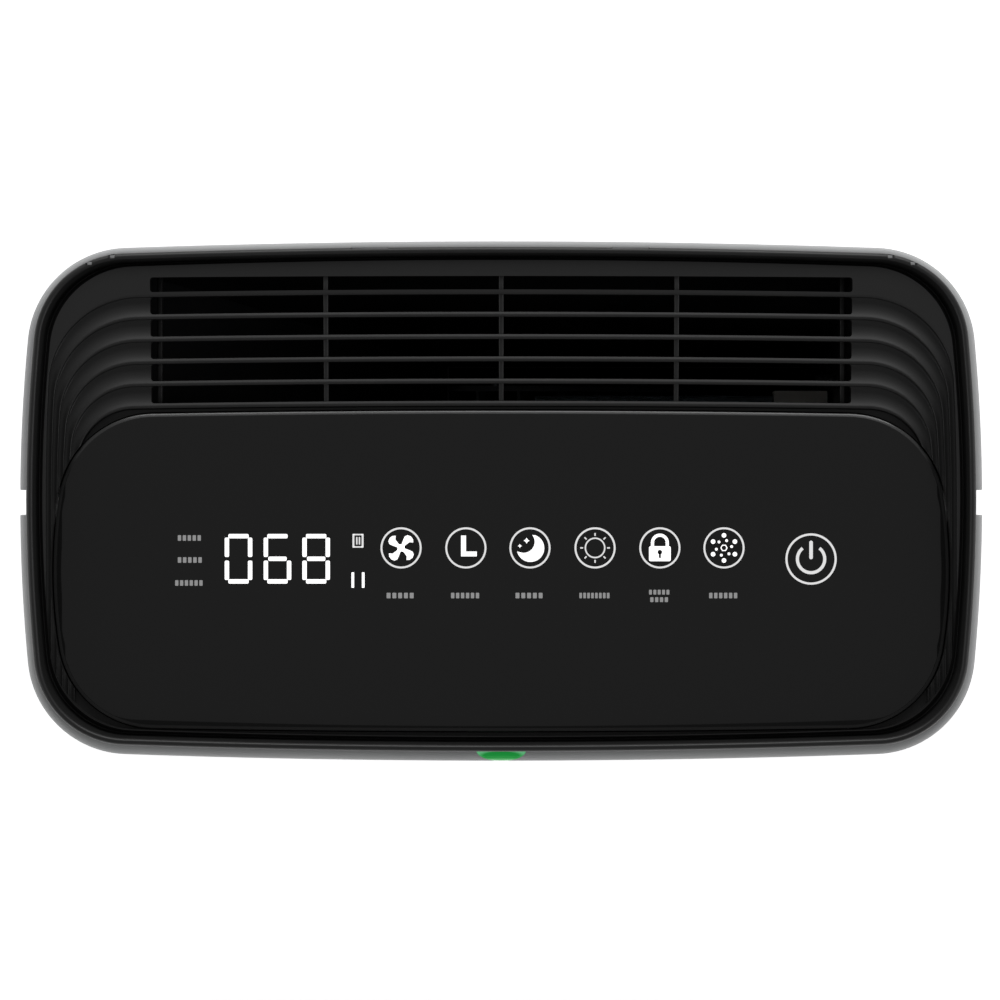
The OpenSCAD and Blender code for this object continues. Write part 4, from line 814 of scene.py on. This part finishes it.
# collar under the slots, and the duct's edge inside it
bm = bmesh.new()
mouth = dict(x=147, y0=40, y1=94, wall=2, low=586, edgeX=141.2, edgeT=2.2, edgeZ=589)
for s in (-1, 1):
    x0, x1 = sorted((s * mouth["x"], s * (mouth["x"] + mouth["wall"])))
    block(bm, (x0, mouth["y0"], mouth["low"]), (x1, mouth["y1"] + 2, 593.5), 0.3)
    x0, x1 = sorted((s * mouth["edgeX"], s * (mouth["edgeX"] + mouth["edgeT"])))
    block(bm, (x0, mouth["y0"] + 0.2, mouth["edgeZ"] - 8), (x1, mouth["y1"] - 0.2, mouth["edgeZ"]), 0.5, 3)
collar = draw("grilleCollar", bm)
finish(collar, "housing", deckAbs, [])


print("control panel")
bm = bmesh.new()
# inset and height from the top
profile = ((0, -3), (0, -0.7), (0.12, -0.5), (0.4, -0.34), (1.4, -0.07), (1.6, 0))
first, ring = sweepRings(bm, [(panelLine(t), panel["top"] + z) for t, z in profile], False)
bmesh.ops.contextual_create(bm, geom=first[1])
bmesh.ops.contextual_create(bm, geom=ring[1])
controlPanel = draw("controlPanel", bm)
finish(controlPanel, "housing", panelAcrylic, ["control_panel"], 40)

legend = dict(z=panel["top"], t=0.06, keyY=-19.4, keys=(-41.4, -14.6, 11.9, 38.8, 65.6, 92.1), ring=8.5,
              ringW=0.78,
              power=(128.1, -24.0), powerRing=10.6, spread=1.006)


def plate(bm, line, x=0, y=0):
    # a thin printed shape on the panel
    carryFace(bm, [(x + u, y + v, legend["z"] - 0.02) for u, v in line], (0, 0, legend["t"]))


def hoop(bm, x, y, r, w, a0=0, a1=360, steps=64):
    # a flat ring, or part of one, spun from its cross line
    z = legend["z"] - 0.02
    corners = [(r - w, z), (r, z), (r, z + legend["t"]), (r - w, z + legend["t"])]
    start = Vector((cos(radians(a0)), sin(radians(a0))))
    verts = [bm.verts.new((x + start.x * u, y + start.y * u, v)) for u, v in corners]
    edges = [bm.edges.new(pair) for pair in zip(verts, verts[1:] + verts[:1])]
    full = a1 - a0 >= 360
    geom = list(verts) + edges
    if not full:
        geom += bmesh.ops.contextual_create(bm, geom=edges)["faces"]
    bmesh.ops.spin(bm, geom=geom, cent=(x, y, 0), axis=(0, 0, 1), angle=radians(a1 - a0), steps=steps,
                   use_merge=full,
                   use_duplicate=False)


def disc(bm, x, y, r, sides=28):
    plate(bm, [(r * cos(2 * pi * k / sides), r * sin(2 * pi * k / sides)) for k in range(sides)], x, y)


def bar(bm, x0, y0, x1, y1, r=0.2):
    w, h = x1 - x0, y1 - y0
    plate(bm, roundedRect(w, h, min(r, w / 2.01, h / 2.01), 3), x0 + w / 2, y0 + h / 2)


def printOn(name, bm, ink):
    bmesh.ops.scale(bm, vec=(legend["spread"], legend["spread"], 1), verts=bm.verts)
    finish(draw(name, bm, False), "housing", ink, [])


# three seven segment digits
digit = dict(w=11.4, h=20.5, stroke=1.8, x=(-108.6, -92.5, -76.5), y=-23.9,
             lit=("abcdef", "acdefg", "abcdefg"))
bm = bmesh.new()
w, h, s = digit["w"] / 2, digit["h"] / 2, digit["stroke"]
segments = dict(a=(-w + 1.5, h - s, w - 1.5, h), g=(-w + 1.9, -s / 2, w - 1.9, s / 2),
                d=(-w + 1.5, -h, w - 1.5, -h + s), f=(-w, 0.75, -w + s, h - 1.5), b=(w - s, 0.75, w, h - 1.5),
                e=(-w, -h + 1.5, -w + s, -0.75), c=(w - s, -h + 1.5, w, -0.75))
for x, lit in zip(digit["x"], digit["lit"]):
    for name in lit:
        x0, y0, x1, y1 = segments[name]
        bar(bm, x + x0, digit["y"] + y0, x + x1, digit["y"] + y1, 0.55)
printOn("displayDigits", bm, inkBright)

# icons: fan, clock hands, moon, padlock, ions
bm = bmesh.new()
keyX, keyY = legend["keys"], legend["keyY"]
blade = [(1.0, -30), (2.6, -15), (4.2, -14), (5.5, -24), (6.1, -12), (6.25, 2), (5.9, 15), (5.0, 24),
         (3.6, 27),
         (2.2, 30), (1.2, 40)]
for k in range(4):
    plate(bm, [(r * cos(radians(a + 48 + 90 * k)), r * sin(radians(a + 48 + 90 * k))) for r, a in blade],
          keyX[0], keyY)
disc(bm, keyX[0], keyY, 1.5)
plate(bm, [(-2.0, 5.1), (-2.0, -3.5), (4.5, -3.5), (4.5, -1.5), (0.05, -1.5), (0.05, 5.1)], keyX[1], keyY)
outer = [(5.7 * cos(radians(a)) + 0.2, 5.7 * sin(radians(a)) - 0.1) for a in range(-166, 77, 9)]
inner = [(4.55 * cos(radians(a)) - 2.6, 4.55 * sin(radians(a)) + 2.5) for a in range(39, -112, -10)]
plate(bm, outer + inner, keyX[2], keyY)
for x, y, r in ((-1.4, 3.0, 1.25), (-4.2, 0.8, 0.85)):
    reach = [r, r / 2] * 4                       # four points and the notches between them
    plate(bm, [(x + reach[k] * cos(k * pi / 4), y + reach[k] * sin(k * pi / 4)) for k in range(8)], keyX[2],
          keyY)
plate(bm, roundedRect(9.0, 6.2, 0.7, 4), keyX[4], keyY - 2.4)
hoop(bm, keyX[4], keyY + 2.2, 3.7, 1.3, 0, 180, 24)
for s in (-1, 1):
    bar(bm, keyX[4] + s * 3.05 - 0.65, keyY + 0.4, keyX[4] + s * 3.05 + 0.65, keyY + 2.3, 0.05)
for k in range(6):
    a = radians(90 + 60 * k)
    disc(bm, keyX[5] + 5.2 * cos(a), keyY + 5.2 * sin(a), 0.95, 16)
    disc(bm, keyX[5] + 3.2 * cos(a - 0.35), keyY + 3.2 * sin(a - 0.35), 0.6, 12)
hoop(bm, keyX[5], keyY, 1.5, 0.45, steps=6)
printOn("keyIcons", bm, inkBright)

# keyhole, a dark shape over the padlock
bm = bmesh.new()
bar(bm, keyX[4] - 0.42, keyY - 4.2, keyX[4] + 0.42, keyY - 1.8, 0.3)
disc(bm, keyX[4], keyY - 1.75, 0.95, 20)
bmesh.ops.translate(bm, vec=(0, 0, 0.03), verts=bm.verts)
printOn("keyHole", bm, panelAcrylic)

# rings round the keys, the sun and the power mark
bm = bmesh.new()
for x in keyX:
    hoop(bm, x, keyY, legend["ring"], legend["ringW"], steps=72)
hoop(bm, *legend["power"], legend["powerRing"], 0.88, steps=84)
hoop(bm, keyX[3], keyY, 4.3, 0.6, steps=48)
for k in range(8):
    a = k * pi / 4
    line = [(4.95, -0.3), (6.15, -0.3), (6.15, 0.3), (4.95, 0.3)]
    plate(bm, [(u * cos(a) - v * sin(a), u * sin(a) + v * cos(a)) for u, v in line], keyX[3], keyY)
hoop(bm, *legend["power"], 6.3, 1.3, 128, 412, 56)
powerX, powerY = legend["power"]
bar(bm, powerX - 0.75, powerY - 0.1, powerX + 0.75, powerY + 7.6, 0.7)
printOn("keyRings", bm, inkRing)

# plain blocks where words would be, and two small marks by the digits
labels = dict(rows=((-128.6, -15.3, 5, 10.2), (-128.4, -24.4, 5, 10.6), (-128.8, -33.9, 6, 12.0)),
              under=(5, 6, 5, 8, 0, 6), y=-39.1)
bm = bmesh.new()


def blockWord(x, y, count, w, h=2.3):
    step = w / count
    for k in range(count):
        bar(bm, x - w / 2 + k * step, y - h / 2, x - w / 2 + k * step + step * 0.68, y + h / 2, 0.25)


for x, y, count, w in labels["rows"]:
    blockWord(x, y, count, w)
for x, count in zip(keyX, labels["under"]):
    if count:
        blockWord(x, labels["y"], count, 10.2 + 0.35 * count)
blockWord(keyX[4], labels["y"] + 1.4, 5, 9.0, 2.0)
blockWord(keyX[4], labels["y"] - 1.7, 4, 8.0, 2.0)
printOn("labelBlocks", bm, inkDim)

# bars as x0, y0, x1, y1 and corner
marks = dict(filter=((-61.5, -19.3, -60.7, -13.6, 0.2), (-57.7, -19.3, -56.9, -13.6, 0.2),
                     (-61.0, -14.2, -57.4, -13.6, 0.2), (-61.0, -19.3, -57.4, -18.7, 0.2),
                     (-60.0, -18.0, -59.4, -14.9, 0.1), (-58.9, -18.0, -58.3, -14.9, 0.1)),
             display=((-61.9, -35.9, -60.8, -29.5, 0.2), (-57.6, -35.9, -56.5, -29.5, 0.2)))
for name, bars, ink in (("filterMark", marks["filter"], inkRing),
                        ("displayMarks", marks["display"], inkBright)):
    bm = bmesh.new()
    for sides in bars:
        bar(bm, *sides)
    printOn(name, bm, ink)


print("back and feet")
bm = bmesh.new()
# inset, y and corner cut of each ring, from the lip to the floor
loops = [(0, 107.3, 0), (0.25, 107.75, 0.15), (0.9, 107.9, 0.5), (1.6, 107.6, 1.2), (2, 107, 1.6),
         (2.4, 96, 2), (3.0, 87, 2.4),
         (4.0, 85.2, 3.2), (5.6, 84.35, 4.4), (8, 84.1, 5)]
first = None
for inset, y, cut in loops:
    line = roundedRect(cup["w"] - 2 * inset, cup["h"] - 2 * inset, max(cup["r"] - cut, 2.5), 8)
    ring = [(cup["x"] + u, v) for u, v in line]
    if first is None:
        verts = [bm.verts.new((u, y, cup["z"] + v)) for u, v in ring]
        current = verts, [bm.edges.new(pair) for pair in zip(verts, verts[1:] + verts[:1])]
        first = current
    else:
        current = carryRing(bm, current, ring, 0)
        for v, (u, w) in zip(current[0], ring):
            v.co = (u, y, cup["z"] + w)
bmesh.ops.contextual_create(bm, geom=current[1])
outside = carryRing(bm, first, [(u, v) for u, v in roundedRect(cup["w"], cup["h"], cup["r"], 8)], 0)
for v, (u, w) in zip(outside[0], roundedRect(cup["w"], cup["h"], cup["r"], 8)):
    v.co = (u, 82.3, cup["z"] + w)
bmesh.ops.contextual_create(bm, geom=outside[1])
finish(draw("handGrip", bm), "housing", shellAbs, ["handle_cup"], 35)

bm = bmesh.new()
feet = dict(x=140, y=68, profile=((0, 0), (8.6, 0), (9.6, 0.25), (10.2, 0.9), (10.6, 2.2), (11, 4.5),
                                  (11, 7.4),
                                  (0, 7.4)))
for x in (-feet["x"], feet["x"]):
    for y in (-feet["y"], feet["y"]):
        spinProfile(bm, [(x + r, y, z) for r, z in feet["profile"]], (x, y, 0), (0, 0, 1), 40)
finish(draw("rubberFeet", bm), "housing", footRubber, ["rubber_feet"], 40)


print("filters")
net = dict(w=316, h=356, z=224, y=-93, pitch=2.0, thread=0.36)
bm = bmesh.new()
half = net["thread"] / 2
for k in range(int(net["w"] / net["pitch"])):
    x = -net["w"] / 2 + net["pitch"] * (k + 0.5)
    block(bm, (x - half, net["y"] - net["thread"], net["z"] - net["h"] / 2),
          (x + half, net["y"], net["z"] + net["h"] / 2))
for k in range(int(net["h"] / net["pitch"])):
    z = net["z"] - net["h"] / 2 + net["pitch"] * (k + 0.5)
    block(bm, (-net["w"] / 2, net["y"], z - half), (net["w"] / 2, net["y"] + net["thread"], z + half))
finish(draw("prefilterNet", bm), "prefilter", meshNylon, ["prefilter_mesh"], 32)


print("finish")
bpy.context.view_layer.update()
